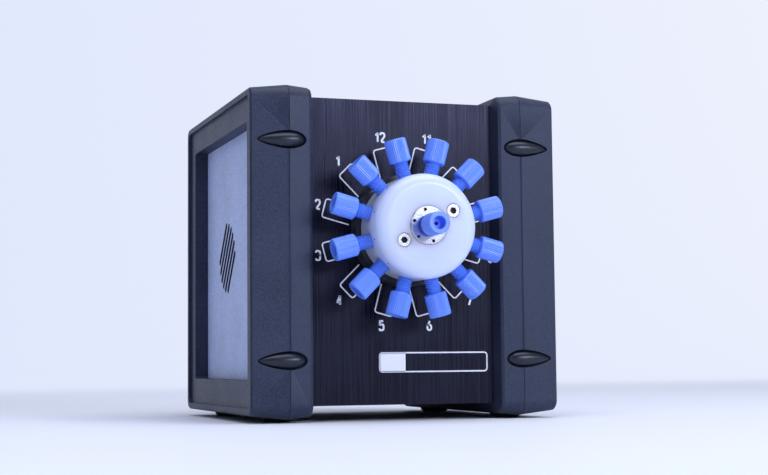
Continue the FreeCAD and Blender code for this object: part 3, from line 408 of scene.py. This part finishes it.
def softened(name, node, material, bevel, body="root", angle=18.0, segments=2):
    mesh = nodes[node].data.copy()
    mesh.name = name
    work = bmesh.new()
    work.from_mesh(mesh)
    bmesh.ops.remove_doubles(work, verts=work.verts, dist=2e-6)
    bmesh.ops.dissolve_limit(work, angle_limit=math.radians(0.6), verts=work.verts, edges=work.edges)
    work.to_mesh(mesh)
    work.free()
    mesh.materials.clear()
    mesh.materials.append(material)
    made = bpy.data.objects.new(name, mesh)
    bpy.context.scene.collection.objects.link(made)
    edge = made.modifiers.new("edge", "BEVEL")
    edge.width = bevel
    edge.segments = segments
    edge.limit_method = "ANGLE"
    edge.angle_limit = math.radians(angle)
    edge.harden_normals = False
    edge.use_clamp_overlap = True
    weight = made.modifiers.new("normals", "WEIGHTED_NORMAL")
    weight.keep_sharp = True
    for face in mesh.polygons:
        face.use_smooth = True
    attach(made, body)
    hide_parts(node)
    print(name, "faces", len(mesh.polygons))
    return made


bumpers = []
for side in ("left", "right"):
    bumpers.append(softened(side + "_bumper", side + "_side_frame", moulded_black, 0.5 * MM))
    softened(side + "_plugs", side + "_frame_plugs", satin_black, 0.25 * MM)
    softened(side + "_plate", side + "_side_panel", grey_painted_slot_shade, 0.05 * MM, segments=1)
softened("adapter_flange", "valve_adapter", adapter_black, 0.3 * MM)
softened("valve_head", "valve_body", valve_white, 0.15 * MM)
collar = softened("port_collar", "port_insert", collar_steel, 0.12 * MM)
screws = softened("head_screws", "valve_screws", screw_steel, 0.2 * MM)
softened("pads", "rubber_feet", foot_rubber, 0.3 * MM)
softened("switch_housing", "switch_body", switch_black, 0.15 * MM)
softened("rocker", "power_switch", switch_black, 0.25 * MM, body="switch_rocker")

# %% [markdown]
# The screws' hexagon sockets and the collar's six spanner holes are so deep for their width
# that hardly any light comes out of them. Their walls get painted shade, a dark colour found by
# place: any face near a hole's axis and behind the front.

# %% Painted shade in the sockets
SOCKET_REACH = 1.55 * MM
PIN_REACH = 0.75 * MM
BEHIND_FRONT = 0.15 * MM
HEAD_SLICE = 0.1 * MM
PIN_CIRCLE = 6.7 * MM
PIN_COUNT = 6
PIN_FIRST = math.radians(45)


def darkened(made, centres, reach, front):
    """Give the walls and floors of holes along Y the dark colour of painted shade."""
    made.data.materials.append(painted_recess_shade)
    count = 0
    for face in made.data.polygons:
        place = Vector((face.center.x, face.center.z))
        deep = face.center.y > front + BEHIND_FRONT
        if deep and min((place - centre).length for centre in centres) < reach:
            face.material_index = 1
            count += 1
    print(made.name, "dark faces", count)


screw_low, screw_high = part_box("valve_screws")
head_front = screw_low.y + HEAD_SLICE
head_points = [vertex.co for vertex in screws.data.vertices if vertex.co.y < head_front]
centres = []
for sign in (-1, 1):
    side = [point for point in head_points if sign * (point.x - VALVE_CENTRE.x) > 0]
    x = (min(point.x for point in side) + max(point.x for point in side)) / 2
    z = (min(point.z for point in side) + max(point.z for point in side)) / 2
    centres.append(Vector((x, z)))
darkened(screws, centres, SOCKET_REACH, screw_low.y)
centres = []
for index in range(PIN_COUNT):
    angle = PIN_FIRST + 2 * math.pi * index / PIN_COUNT
    spot = Vector((math.cos(angle), math.sin(angle))) * PIN_CIRCLE
    centres.append(Vector((VALVE_CENTRE.x, VALVE_CENTRE.z)) + spot)
darkened(collar, centres, PIN_REACH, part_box("port_insert")[0].y)

# %% [markdown]
# The two halves of the bumper's mould met along its ridge and left a fine line there. The
# ridge is cut beside the line on both sides, and the line itself is pushed in, which makes a
# narrow V. Only vertices that face away from the bumper's middle move. The faces of the V get
# a dark colour as painted shade in the groove.

# %% Mould line along the bumpers
RIDGE_X = 52.6 * MM
LINE_HALF = 0.16 * MM
LINE_DEPTH = 0.2 * MM


def mould_line(made):
    graph = bpy.context.evaluated_depsgraph_get()
    mesh = bpy.data.meshes.new_from_object(made.evaluated_get(graph))
    for modifier in list(made.modifiers):
        made.modifiers.remove(modifier)
    work = bmesh.new()
    work.from_mesh(mesh)
    side = math.copysign(1, mesh.vertices[0].co.x)
    for offset in (-LINE_HALF, 0.0, LINE_HALF):
        everything = work.verts[:] + work.edges[:] + work.faces[:]
        plane = Vector((side * (RIDGE_X + offset), 0, 0))
        bmesh.ops.bisect_plane(work, geom=everything, plane_co=plane, plane_no=(1, 0, 0), dist=1e-7)
    work.normal_update()
    centre = sum((vertex.co for vertex in work.verts), Vector()) / len(work.verts)
    on_line = [vertex for vertex in work.verts if abs(vertex.co.x - side * RIDGE_X) < 1e-6]
    outer = [vertex for vertex in on_line if vertex.normal.dot(vertex.co - centre) > 0]
    for vertex in outer:
        inward = Vector((0, vertex.normal.y, vertex.normal.z)).normalized()
        vertex.co -= inward * LINE_DEPTH
    chosen = set(outer)
    # Painted shade: the faces of the V get the dark colour.
    for face in work.faces:
        near = all(abs(vertex.co.x - side * RIDGE_X) < LINE_HALF + 1e-6 for vertex in face.verts)
        if near and chosen.intersection(face.verts):
            face.material_index = 1
            face.smooth = False
    work.to_mesh(mesh)
    work.free()
    made.data = mesh
    mesh.materials.append(painted_recess_shade)
    print(made.name, "line vertices", len(outer))


for bumper in bumpers:
    mould_line(bumper)

# %% [markdown]
# The thirteen finger-tight nuts are the piece that the eye goes to. Each is a turned shape
# with a straight knurl on its head and a thread on its shank, and both follow a rule, so a
# Geometry Nodes tree makes them: it dents the head's surface by a wave round its axis, and
# sweeps a ridge along a helix for the thread. The tree's inputs are real sizes.

# %% A tree that knurls and threads


def new_tree(name, inputs):
    """A geometry tree with named inputs besides the geometry itself."""
    tree = bpy.data.node_groups.new(name, "GeometryNodeTree")
    tree.interface.new_socket("Geometry", in_out="INPUT", socket_type="NodeSocketGeometry")
    for label, kind, value in inputs:
        socket = tree.interface.new_socket(label, in_out="INPUT", socket_type=kind)
        if value is not None:
            socket.default_value = value
    tree.interface.new_socket("Geometry", in_out="OUTPUT", socket_type="NodeSocketGeometry")
    entry = tree.nodes.new("NodeGroupInput")
    leave = tree.nodes.new("NodeGroupOutput")
    return tree, entry.outputs, leave.inputs


def grown(name, mesh, tree, values):
    """Run a tree on a mesh and keep the result as a plain mesh."""
    holder = bpy.data.objects.new(name + "_seed", mesh)
    bpy.context.scene.collection.objects.link(holder)
    grow = holder.modifiers.new("grow", "NODES")
    grow.node_group = tree
    for item in tree.interface.items_tree:
        if item.item_type == "SOCKET" and item.in_out == "INPUT" and item.name in values:
            grow[item.identifier] = values[item.name]
    bpy.context.view_layer.update()
    graph = bpy.context.evaluated_depsgraph_get()
    result = bpy.data.meshes.new_from_object(holder.evaluated_get(graph))
    result.name = name
    bpy.data.objects.remove(holder)
    return result


def place_piece(name, mesh, body):
    made = bpy.data.objects.new(name, mesh)
    bpy.context.scene.collection.objects.link(made)
    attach(made, body)
    return made


FLOAT = "NodeSocketFloat"
nut_tree, given, out = new_tree(
    "knurl_and_thread",
    [
        ("Flutes", FLOAT, 36.0),
        ("Flute depth", FLOAT, 0.2 * MM),
        ("Knurl start", FLOAT, 14.0 * MM),
        ("Knurl end", FLOAT, 23.0 * MM),
        ("Knurl inside", FLOAT, 4.0 * MM),
        ("Thread start", FLOAT, 3.0 * MM),
        ("Thread radius", FLOAT, 3.0 * MM),
        ("Pitch", FLOAT, 0.907 * MM),
        ("Turns", FLOAT, 11.0),
        ("Ridge", FLOAT, 0.3 * MM),
        ("Material", "NodeSocketMaterial", None),
    ],
)
add = nut_tree.nodes.new
link = nut_tree.links.new
where = add("GeometryNodeInputPosition").outputs[0]
parts = add("ShaderNodeSeparateXYZ")
link(where, parts.inputs[0])
turn = math_node(nut_tree, "ARCTAN2", parts.outputs["Z"], parts.outputs["Y"])
phase = math_node(nut_tree, "MULTIPLY", turn, given["Flutes"])
fall = math_node(nut_tree, "SUBTRACT", 1.0, math_node(nut_tree, "COSINE", phase))
wave = math_node(nut_tree, "MULTIPLY", fall, 0.5)
square_y = math_node(nut_tree, "POWER", parts.outputs["Y"], 2.0)
square_z = math_node(nut_tree, "POWER", parts.outputs["Z"], 2.0)
radius = math_node(nut_tree, "SQRT", math_node(nut_tree, "ADD", square_y, square_z))
mask = math_node(nut_tree, "GREATER_THAN", parts.outputs["X"], given["Knurl start"])
before_end = math_node(nut_tree, "LESS_THAN", parts.outputs["X"], given["Knurl end"])
mask = math_node(nut_tree, "MULTIPLY", mask, before_end)
outside = math_node(nut_tree, "GREATER_THAN", radius, given["Knurl inside"])
mask = math_node(nut_tree, "MULTIPLY", mask, outside)
dent = math_node(nut_tree, "MULTIPLY", wave, given["Flute depth"])
dent = math_node(nut_tree, "MULTIPLY", dent, mask)
factor = math_node(nut_tree, "DIVIDE", math_node(nut_tree, "SUBTRACT", radius, dent), radius)
moved = add("ShaderNodeCombineXYZ")
link(parts.outputs["X"], moved.inputs["X"])
link(math_node(nut_tree, "MULTIPLY", parts.outputs["Y"], factor), moved.inputs["Y"])
link(math_node(nut_tree, "MULTIPLY", parts.outputs["Z"], factor), moved.inputs["Z"])
push = add("GeometryNodeSetPosition")
link(given["Geometry"], push.inputs["Geometry"])
link(moved.outputs[0], push.inputs["Position"])
helix = add("GeometryNodeCurveSpiral")
helix.inputs["Resolution"].default_value = 22
link(given["Turns"], helix.inputs["Rotations"])
link(given["Thread radius"], helix.inputs["Start Radius"])
link(given["Thread radius"], helix.inputs["End Radius"])
link(math_node(nut_tree, "MULTIPLY", given["Turns"], given["Pitch"]), helix.inputs["Height"])
helix.inputs["Reverse"].default_value = False
upright = add("GeometryNodeSetCurveNormal")
upright.mode = "Z_UP"
link(helix.outputs[0], upright.inputs[0])
section = add("GeometryNodeCurvePrimitiveCircle")
section.inputs["Resolution"].default_value = 4
link(given["Ridge"], section.inputs["Radius"])
sweep = add("GeometryNodeCurveToMesh")
link(upright.outputs[0], sweep.inputs["Curve"])
link(section.outputs[0], sweep.inputs["Profile Curve"])
sweep.inputs["Fill Caps"].default_value = True
lay = add("GeometryNodeTransform")
link(sweep.outputs[0], lay.inputs["Geometry"])
lay.inputs["Rotation"].default_value = (0.0, math.pi / 2, 0.0)
shift = add("ShaderNodeCombineXYZ")
link(given["Thread start"], shift.inputs["X"])
link(shift.outputs[0], lay.inputs["Translation"])
join = add("GeometryNodeJoinGeometry")
link(push.outputs[0], join.inputs[0])
link(lay.outputs[0], join.inputs[0])
real = add("GeometryNodeRealizeInstances")
link(join.outputs[0], real.inputs[0])
paint = add("GeometryNodeSetMaterial")
link(real.outputs[0], paint.inputs["Geometry"])
link(given["Material"], paint.inputs["Material"])
link(paint.outputs[0], out["Geometry"])

# %% [markdown]
# The seed for that tree is a lathe profile: shank, shoulder, head with a chamfer at both
# ends, a recess in its end and the tube's hole right through. The points along the head are
# close enough for the dents to have clean ends.

# %% Thirteen nuts
FLUTES = 36
AROUND = FLUTES * 4
THREAD_PITCH = 25.4 / 28 * MM
THREAD_OUTER = 3.175 * MM
RIDGE = 0.42 * MM
SHANK_CORE = THREAD_OUTER - 0.68 * MM
HEAD_LENGTH = 10.0 * MM
CHAMFER = 0.55 * MM
RECESS_R = 2.7 * MM
RECESS_DEPTH = 4.0 * MM
TUBE_HOLE_R = 0.83 * MM
head_start = NUT_START + NUT_LENGTH - HEAD_LENGTH
head_end = NUT_START + NUT_LENGTH
knurl_start = head_start + CHAMFER
knurl_end = head_end - CHAMFER
profile = [
    (NUT_START, TUBE_HOLE_R),
    (NUT_START, SHANK_CORE - CHAMFER / 2),
    (NUT_START + CHAMFER / 2, SHANK_CORE),
    (head_start, SHANK_CORE),
    (head_start, NUT_R - CHAMFER),
    (knurl_start - CHAMFER / 2, NUT_R - CHAMFER / 3),
    (knurl_start, NUT_R),
    (knurl_start + CHAMFER / 2, NUT_R),
    ((knurl_start + knurl_end) / 2, NUT_R),
    (knurl_end - CHAMFER / 2, NUT_R),
    (knurl_end, NUT_R),
    (knurl_end + CHAMFER / 2, NUT_R - CHAMFER / 3),
    (head_end, NUT_R - CHAMFER),
    (head_end, RECESS_R + CHAMFER / 3),
    (head_end - CHAMFER / 3, RECESS_R),
    (head_end - RECESS_DEPTH, RECESS_R),
    (head_end - RECESS_DEPTH, TUBE_HOLE_R),
]
seed = bpy.data.meshes.new("nut_seed")
seed.from_pydata(lathe_points(profile, AROUND), [], ring_faces(len(profile), AROUND, True))
thread_start = NUT_START + THREAD_PITCH / 2
turns = (head_start - thread_start) / THREAD_PITCH
nut_values = {
    "Flutes": float(FLUTES),
    "Flute depth": 0.22 * MM,
    "Knurl start": knurl_start - CHAMFER / 8,
    "Knurl end": knurl_end + CHAMFER / 8,
    "Knurl inside": RECESS_R + 3 * CHAMFER / 2,
    "Thread start": thread_start,
    "Thread radius": THREAD_OUTER - RIDGE,
    "Pitch": THREAD_PITCH,
    "Turns": turns,
    "Ridge": RIDGE,
    "Material": fitting_blue,
}
pattern = grown("nut_pattern", seed, nut_tree, nut_values)
finish_mesh(pattern)
print("nut triangles", sum(len(face.vertices) - 2 for face in pattern.polygons))
fittings = ["port_%d" % number for number in range(1, PORTS + 1)] + ["common_port"]
for fitting in fittings:
    joint = joints[fitting + "_turn"]
    mesh = pattern.copy()
    mesh.transform(along_axis(joint["pos_m"], joint["axis"]))
    made = place_piece(fitting + "_knurled_nut", mesh, fitting + "_nut")
    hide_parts(fitting + "_nut")

# %% [markdown]
# Printed marks and the small weep holes repeat round the valve's axis. One tree serves both:
# it turns copies of its input about an axis, joins them and moves them to the centre. The
# seed is drawn once, pointing along X.

# %% A tree that rings copies round an axis
ring_tree, given, out = new_tree(
    "copies_round_an_axis",
    [
        ("Count", "NodeSocketInt", 12),
        ("First angle", FLOAT, 0.0),
        ("Centre", "NodeSocketVector", (0.0, 0.0, 0.0)),
        ("Material", "NodeSocketMaterial", None),
    ],
)
add = ring_tree.nodes.new
link = ring_tree.links.new
spots = add("GeometryNodePoints")
link(given["Count"], spots.inputs["Count"])
number = add("GeometryNodeInputIndex").outputs[0]
share = math_node(ring_tree, "DIVIDE", number, given["Count"])
swing = math_node(ring_tree, "MULTIPLY", share, 2 * math.pi)
swing = math_node(ring_tree, "ADD", swing, given["First angle"])
spin = add("FunctionNodeAxisAngleToRotation")
spin.inputs["Axis"].default_value = (0.0, -1.0, 0.0)
link(swing, spin.inputs["Angle"])
copies = add("GeometryNodeInstanceOnPoints")
link(spots.outputs[0], copies.inputs["Points"])
link(given["Geometry"], copies.inputs["Instance"])
link(spin.outputs[0], copies.inputs["Rotation"])
real = add("GeometryNodeRealizeInstances")
link(copies.outputs[0], real.inputs[0])
lay = add("GeometryNodeTransform")
link(real.outputs[0], lay.inputs["Geometry"])
link(given["Centre"], lay.inputs["Translation"])
paint = add("GeometryNodeSetMaterial")
link(lay.outputs[0], paint.inputs["Geometry"])
link(given["Material"], paint.inputs["Material"])
link(paint.outputs[0], out["Geometry"])

# %% [markdown]
# A printed line is a thin raised band, as screen-printed ink is. The path is a list of
# points whose corners are rounded by arcs. Each bracket opens towards the valve head, and
# one lies behind every fitting.

# %% Printed brackets
INK = 0.04 * MM
INK_SUNK = 0.02 * MM
LINE = 0.58 * MM


def rounded_path(corners, radius, steps=5, closed=False):
    """Points along a path in the X-Z plane, with its corners rounded."""
    points = []
    last = len(corners) - 1
    for index, corner in enumerate(corners):
        corner = Vector(corner)
        if not closed and index in (0, last):
            points.append(corner)
            continue
        before = Vector(corners[index - 1]) - corner
        after = Vector(corners[(index + 1) % len(corners)]) - corner
        shorter = min(before.length, after.length)
        before.normalize()
        after.normalize()
        half = before.angle(after) / 2
        reach = min(radius / math.tan(half), shorter / 2)
        bend = reach * math.tan(half)
        start, end = corner + before * reach, corner + after * reach
        centre = corner + (before + after).normalized() * (bend / math.sin(half))
        for step in range(steps + 1):
            spot = start.lerp(end, step / steps) - centre
            points.append(centre + spot.normalized() * bend)
    return points


def inked_band(points, width, face, closed=False):
    """Closed flat band of ink along points in X-Z, standing just proud of a face."""
    count = len(points)
    rows = []
    for index, point in enumerate(points):
        ahead = points[(index + 1) % count] if closed or index < count - 1 else point
        behind = points[index - 1] if closed or index > 0 else point
        along = (ahead - behind).normalized()
        side = Vector((-along.y, along.x)) * width / 2
        for offset in (side, -side):
            for depth in (face - INK, face + INK_SUNK):
                spot = point + offset
                rows.append(Vector((spot.x, depth, spot.y)))
    faces = []
    spans = count if closed else count - 1
    for i in range(spans):
        a, b = 4 * i, 4 * ((i + 1) % count)
        for p, q in ((0, 1), (1, 3), (3, 2), (2, 0)):
            faces.append((a + p, a + q, b + q, b + p))
    if not closed:
        faces.append((0, 1, 3, 2))
        end = 4 * (count - 1)
        faces.append((end, end + 2, end + 3, end + 1))
    return rows, faces


BRACKET_HALF = 4.05 * MM
BRACKET_INNER = 24.6 * MM
BRACKET_OUTER = 37.0 * MM
BRACKET_ROUND = 1.1 * MM
corners = [
    (BRACKET_INNER, BRACKET_HALF),
    (BRACKET_OUTER, BRACKET_HALF),
    (BRACKET_OUTER, -BRACKET_HALF),
    (BRACKET_INNER, -BRACKET_HALF),
]
rows, faces = inked_band(rounded_path(corners, BRACKET_ROUND), LINE, 0.0)
seed = bpy.data.meshes.new("bracket_seed")
seed.from_pydata([tuple(row) for row in rows], [], faces)
finish_mesh(seed)
panel_centre = (VALVE_CENTRE.x, PANEL_FACE, VALVE_CENTRE.z)
ring_values = {"Count": PORTS, "First angle": FIRST_ANGLE, "Centre": panel_centre, "Material": print_white}
brackets = place_piece("printed_brackets", grown("printed_brackets", seed, ring_tree, ring_values), "root")

# %% [markdown]
# The port numbers are plain condensed digits, upright round the valve and held in where the
# panel is too narrow. A digit is one or two bent strokes of even width, so the bands of ink
# above draw it: its corners are given in a cell one wide and one high, and each stroke says
# how round its corners are.

# %% Port numbers
DIGIT_HEIGHT = 4.7 * MM
DIGIT_WIDTH = 2.6 * MM
DIGIT_LINE = 0.82 * MM
DIGIT_PITCH = 2.9 * MM
ONE_PITCH = 2.4 * MM
DIGIT_RING = 42.0 * MM
DIGIT_EDGE = 38.9 * MM
DIGIT_SHIFT = 0.5 * MM
FURTHER_RIGHT = {8: 1.0 * MM, 10: 1.0 * MM}
BOWL = 0.5
SHARP = 0.02
DIGITS = {
    "0": [([(0, 0), (1, 0), (1, 1), (0, 1)], BOWL, True)],
    "1": [([(0.06, 0.72), (0.62, 0.96), (0.62, 0)], SHARP, False)],
    "2": [([(0, 0.76), (0, 1), (1, 1), (1, 0.62), (0.04, 0), (1, 0)], 0.42, False)],
    "3": [
        ([(0, 0.8), (0, 1), (1, 1), (1, 0.54), (0.35, 0.54)], 0.44, False),
        ([(0.35, 0.54), (1, 0.54), (1, 0), (0, 0), (0, 0.2)], 0.44, False),
    ],
    "4": [([(0.64, 1), (0, 0.26), (1, 0.26)], SHARP, False), ([(0.7, 1), (0.7, 0)], SHARP, False)],
    "5": [
        ([(0.92, 1), (0.08, 1), (0.03, 0.52)], SHARP, False),
        ([(0.03, 0.52), (0.3, 0.62), (1, 0.62), (1, 0), (0, 0), (0, 0.2)], 0.42, False),
    ],
    "6": [([(0, 0.6), (1, 0.6), (1, 0), (0, 0)], BOWL, True), ([(0.62, 1), (0.06, 0.42)], SHARP, False)],
    "7": [([(0, 1), (1, 1), (0.36, 0)], SHARP, False)],
    "8": [
        ([(0.04, 0.54), (0.96, 0.54), (0.96, 1), (0.04, 1)], 0.44, True),
        ([(0, 0), (1, 0), (1, 0.54), (0, 0.54)], 0.46, True),
    ],
    "9": [([(0, 0.4), (1, 0.4), (1, 1), (0, 1)], BOWL, True), ([(0.94, 0.58), (0.38, 0)], SHARP, False)],
}


def number_bands(text, x, z):
    """Points and faces of a number's strokes, centred on a place in the panel's plane."""
    cell = Vector((DIGIT_WIDTH - DIGIT_LINE, DIGIT_HEIGHT - DIGIT_LINE))
    pitches = [ONE_PITCH if "1" in (here, after) else DIGIT_PITCH for here, after in zip(text, text[1:])]
    start = x - (sum(pitches) + cell.x) / 2
    points, faces = [], []
    for index, digit in enumerate(text):
        corner = Vector((start + sum(pitches[:index]), z - cell.y / 2))
        for stroke, bend, closed in DIGITS[digit]:
            route = [corner + Vector((u * cell.x, v * cell.y)) for u, v in stroke]
            route = rounded_path(route, bend * cell.x, closed=closed)
            rows, quads = inked_band(route, DIGIT_LINE, PANEL_FACE, closed)
            faces += [tuple(len(points) + corner_index for corner_index in quad) for quad in quads]
            points += rows
    return points, faces


for number in range(1, PORTS + 1):
    angle = FIRST_ANGLE + (number - 1) * PORT_STEP
    x = max(-DIGIT_EDGE, min(DIGIT_EDGE, DIGIT_RING * math.cos(angle)))
    x += DIGIT_SHIFT + FURTHER_RIGHT.get(number, 0.0)
    z = VALVE_CENTRE.z + DIGIT_RING * math.sin(angle)
    points, faces = number_bands(str(number), x, z)
    piece("port_number_%d" % number, points, faces, print_white)

# %% [markdown]
# Below the valve the panel carries an outlined name plate with a solid white end. Its words
# are a maker's, so the outline and the white end are drawn and left empty.

# %% Empty printed plate
FLOOR_TO_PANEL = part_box("front_panel")[0].z
PLATE_X = (-11.4 * MM, 38.0 * MM)
PLATE_Z = (14.0 * MM, 22.1 * MM)
PLATE_SPLIT = 0.3 * MM
PLATE_ROUND = 1.3 * MM
low, high = (FLOOR_TO_PANEL + value for value in PLATE_Z)
corners = [(PLATE_X[0], low), (PLATE_X[1], low), (PLATE_X[1], high), (PLATE_X[0], high)]
path = rounded_path(corners, PLATE_ROUND, closed=True)
rows, faces = inked_band(path, LINE, PANEL_FACE, closed=True)
piece("plate_outline", rows, faces, print_white)
block_middle = Vector(((PLATE_X[0] + PLATE_SPLIT) / 2, (low + high) / 2))
left = [point for point in path if point.x < block_middle.x]
block = left + [Vector((PLATE_SPLIT, high)), Vector((PLATE_SPLIT, low))]
order = sorted(block, key=lambda p: math.atan2(p.y - block_middle.y, p.x - block_middle.x))
front = [Vector((p.x, PANEL_FACE - INK, p.y)) for p in order]
back = [Vector((p.x, PANEL_FACE + INK_SUNK, p.y)) for p in order]
count = len(order)
faces = [tuple(range(count)), tuple(range(2 * count - 1, count - 1, -1))]
faces += [(i, i + count, (i + 1) % count + count, (i + 1) % count) for i in range(count)]
piece("plate_white_end", front + back, faces, print_white)

# %% [markdown]
# Twelve weep holes show as dark dots on the side of the valve head, one in line with each
# port. Each is a shallow dark cup of painted shade for the hole, drawn once and ringed by the same tree.

# %% Painted shade for the weep holes
WEEP_R = 0.42 * MM
WEEP_BACK = 7.5 * MM
WEEP_PROUD = 0.02 * MM
WEEP_SIDES = 16
profile = [(VALVE_R - 0.4 * MM, WEEP_R), (VALVE_R + WEEP_PROUD, WEEP_R)]
points = lathe_points(profile, WEEP_SIDES)
faces = ring_faces(2, WEEP_SIDES, False)
faces.append(tuple(range(WEEP_SIDES - 1, -1, -1)))
faces.append(tuple(range(WEEP_SIDES, 2 * WEEP_SIDES)))
seed = bpy.data.meshes.new("weep_seed")
seed.from_pydata([tuple(point) for point in points], [], faces)
finish_mesh(seed)
weep_centre = (VALVE_CENTRE.x, valve_low.y + WEEP_BACK, VALVE_CENTRE.z)
ring_values = {"Count": PORTS, "First angle": FIRST_ANGLE, "Centre": weep_centre, "Material": painted_recess_shade}
place_piece("weep_hole_painted_shade", grown("weep_hole_painted_shade", seed, ring_tree, ring_values), "root")

# %% [markdown]
# The photograph is repeated by the camera: its place, direction and lens were worked out
# from the casing's edges. The lens is the focal length in pixels, turned into millimetres
# of a 36 mm sensor.

# %% Camera
IMAGE_WIDTH = 768
SENSOR = 36.0
FOCAL_PIXELS = 1539.6
YAW, PITCH, ROLL = (math.radians(value) for value in (18.71, 4.59, -0.56))
EYE_FROM_PANEL = Vector((-220.5, -624.8, 18.6)) * MM
eye = EYE_FROM_PANEL + Vector((0.0, PANEL_FACE, FLOOR_TO_PANEL))
look = Vector((math.sin(YAW) * math.cos(PITCH), math.cos(YAW) * math.cos(PITCH), math.sin(PITCH)))
level = Vector((math.cos(YAW), -math.sin(YAW), 0.0))
upward = level.cross(look)
right = level * math.cos(ROLL) + upward * math.sin(ROLL)
top = upward * math.cos(ROLL) - level * math.sin(ROLL)
camera_data = bpy.data.cameras.new("camera")
camera_data.sensor_width = SENSOR
camera_data.lens = FOCAL_PIXELS * SENSOR / IMAGE_WIDTH
camera_data.clip_start = 0.01
camera_data.clip_end = 50.0
camera = bpy.data.objects.new("camera", camera_data)
bpy.context.scene.collection.objects.link(camera)
turned = Matrix((right, top, -look)).transposed().to_4x4()
camera.matrix_world = Matrix.Translation(eye) @ turned
bpy.context.scene.camera = camera

# %% [markdown]
# A pale floor curves up into a pale backdrop, so that no edge shows, and painted shade makes
# the backdrop darker towards the left. Soft lamps stand overhead, to the left and in front, and the world
# fills the shadows.

# %% Floor, lamps and world
FLOOR = (0.86, 0.885, 0.98)
# Painted shade: the backdrop's left side is given a darker colour than its right.
BACKDROP_LEFT_PAINTED_SHADE = (0.73, 0.795, 0.985)
BACKDROP_RIGHT = (0.865, 0.89, 0.985)
FADE_START, FADE_END = 0.25, 1.1
ACROSS_START, ACROSS_END = -0.4, 1.9


def stage_material():
    """Pale floor that keeps its shadow near the object and turns into a backdrop that painted shade
    darkens towards the left.
    """
    material = bpy.data.materials.new("pale_floor")
    material.use_nodes = True
    tree = material.node_tree
    shader = tree.nodes["Principled BSDF"]
    shader.inputs["Base Color"].default_value = (*FLOOR, 1.0)
    shader.inputs["Roughness"].default_value = 0.6
    shader.inputs["Specular IOR Level"].default_value = 0.2
    glow = tree.nodes.new("ShaderNodeEmission")
    glow.inputs["Strength"].default_value = 1.0
    place = tree.nodes.new("ShaderNodeTexCoord")
    parts = tree.nodes.new("ShaderNodeSeparateXYZ")
    tree.links.new(place.outputs["Object"], parts.inputs[0])
    fade = tree.nodes.new("ShaderNodeMapRange")
    fade.interpolation_type = "SMOOTHSTEP"
    fade.inputs["From Min"].default_value = FADE_START
    fade.inputs["From Max"].default_value = FADE_END
    tree.links.new(parts.outputs["Y"], fade.inputs["Value"])
    across = tree.nodes.new("ShaderNodeMapRange")
    across.inputs["From Min"].default_value = ACROSS_START
    across.inputs["From Max"].default_value = ACROSS_END
    tree.links.new(parts.outputs["X"], across.inputs["Value"])
    painted_backdrop_shade = tree.nodes.new("ShaderNodeMix")
    painted_backdrop_shade.data_type = "RGBA"
    painted_backdrop_shade.inputs["A"].default_value = (*BACKDROP_LEFT_PAINTED_SHADE, 1.0)
    painted_backdrop_shade.inputs["B"].default_value = (*BACKDROP_RIGHT, 1.0)
    tree.links.new(across.outputs["Result"], painted_backdrop_shade.inputs["Factor"])
    tree.links.new(painted_backdrop_shade.outputs["Result"], glow.inputs["Color"])
    path = tree.nodes.new("ShaderNodeLightPath")
    seen = math_node(tree, "MAXIMUM", path.outputs["Is Camera Ray"], path.outputs["Is Glossy Ray"])
    seen = math_node(tree, "MAXIMUM", seen, path.outputs["Is Transmission Ray"])
    mix = tree.nodes.new("ShaderNodeMixShader")
    tree.links.new(math_node(tree, "MULTIPLY", fade.outputs["Result"], seen), mix.inputs["Fac"])
    tree.links.new(shader.outputs[0], mix.inputs[1])
    tree.links.new(glow.outputs[0], mix.inputs[2])
    tree.links.new(mix.outputs[0], tree.nodes["Material Output"].inputs["Surface"])
    return material


def backdrop():
    """A floor that turns up behind the object, as one smooth sheet."""
    half_width, front, back, bend, height = 4.0, -3.0, 2.2, 1.2, 4.0
    line = [(front, 0.0), (back - bend, 0.0)]
    for step in range(1, 13):
        angle = math.pi / 2 * step / 12
        line.append((back - bend + bend * math.sin(angle), bend - bend * math.cos(angle)))
    line.append((back, height))
    points, faces = [], []
    for y, z in line:
        points += [(-half_width, y, z), (half_width, y, z)]
    for i in range(len(line) - 1):
        faces.append((2 * i, 2 * i + 1, 2 * i + 3, 2 * i + 2))
    mesh = bpy.data.meshes.new("backdrop")
    mesh.from_pydata(points, [], faces)
    for face in mesh.polygons:
        face.use_smooth = True
    mesh.materials.append(stage_material())
    made = bpy.data.objects.new("backdrop", mesh)
    bpy.context.scene.collection.objects.link(made)


def lamp(name, place, target, size, power, colour=(1.0, 1.0, 1.0)):
    data = bpy.data.lights.new(name, "AREA")
    data.shape = "RECTANGLE"
    data.size, data.size_y = size
    data.energy = power
    data.color = colour
    made = bpy.data.objects.new(name, data)
    bpy.context.scene.collection.objects.link(made)
    made.location = place
    aim = Vector(target) - Vector(place)
    made.rotation_mode = "QUATERNION"
    made.rotation_quaternion = aim.to_track_quat("-Z", "Y")


backdrop()
middle = (0.0, 0.0, 0.07)
lamp("overhead", (0.1, -0.3, 1.4), middle, (1.4, 1.2), 15.0, (0.93, 0.95, 1.0))
lamp("left_front", (-1.2, -0.9, 0.8), middle, (0.8, 0.8), 2.7, (0.93, 0.95, 1.0))
lamp("right_front", (0.9, -1.4, 0.6), middle, (0.9, 0.35), 9.3, (0.93, 0.95, 1.0))
lamp("steel_glint", (0.51, -1.41, 0.16), middle, (0.45, 0.3), 0.18)
lamp("panel_sheen", (0.4, -1.4, 0.46), (0.0, 0.0, 0.12), (0.7, 0.16), 4.4, (0.7, 0.77, 1.0))
world = bpy.data.worlds.new("soft_room")
bpy.context.scene.world = world
world.use_nodes = True
sky = world.node_tree.nodes["Background"]
sky.inputs["Color"].default_value = (0.70, 0.78, 1.0, 1.0)
sky.inputs["Strength"].default_value = 0.3
bpy.context.scene.view_settings.view_transform = "Standard"
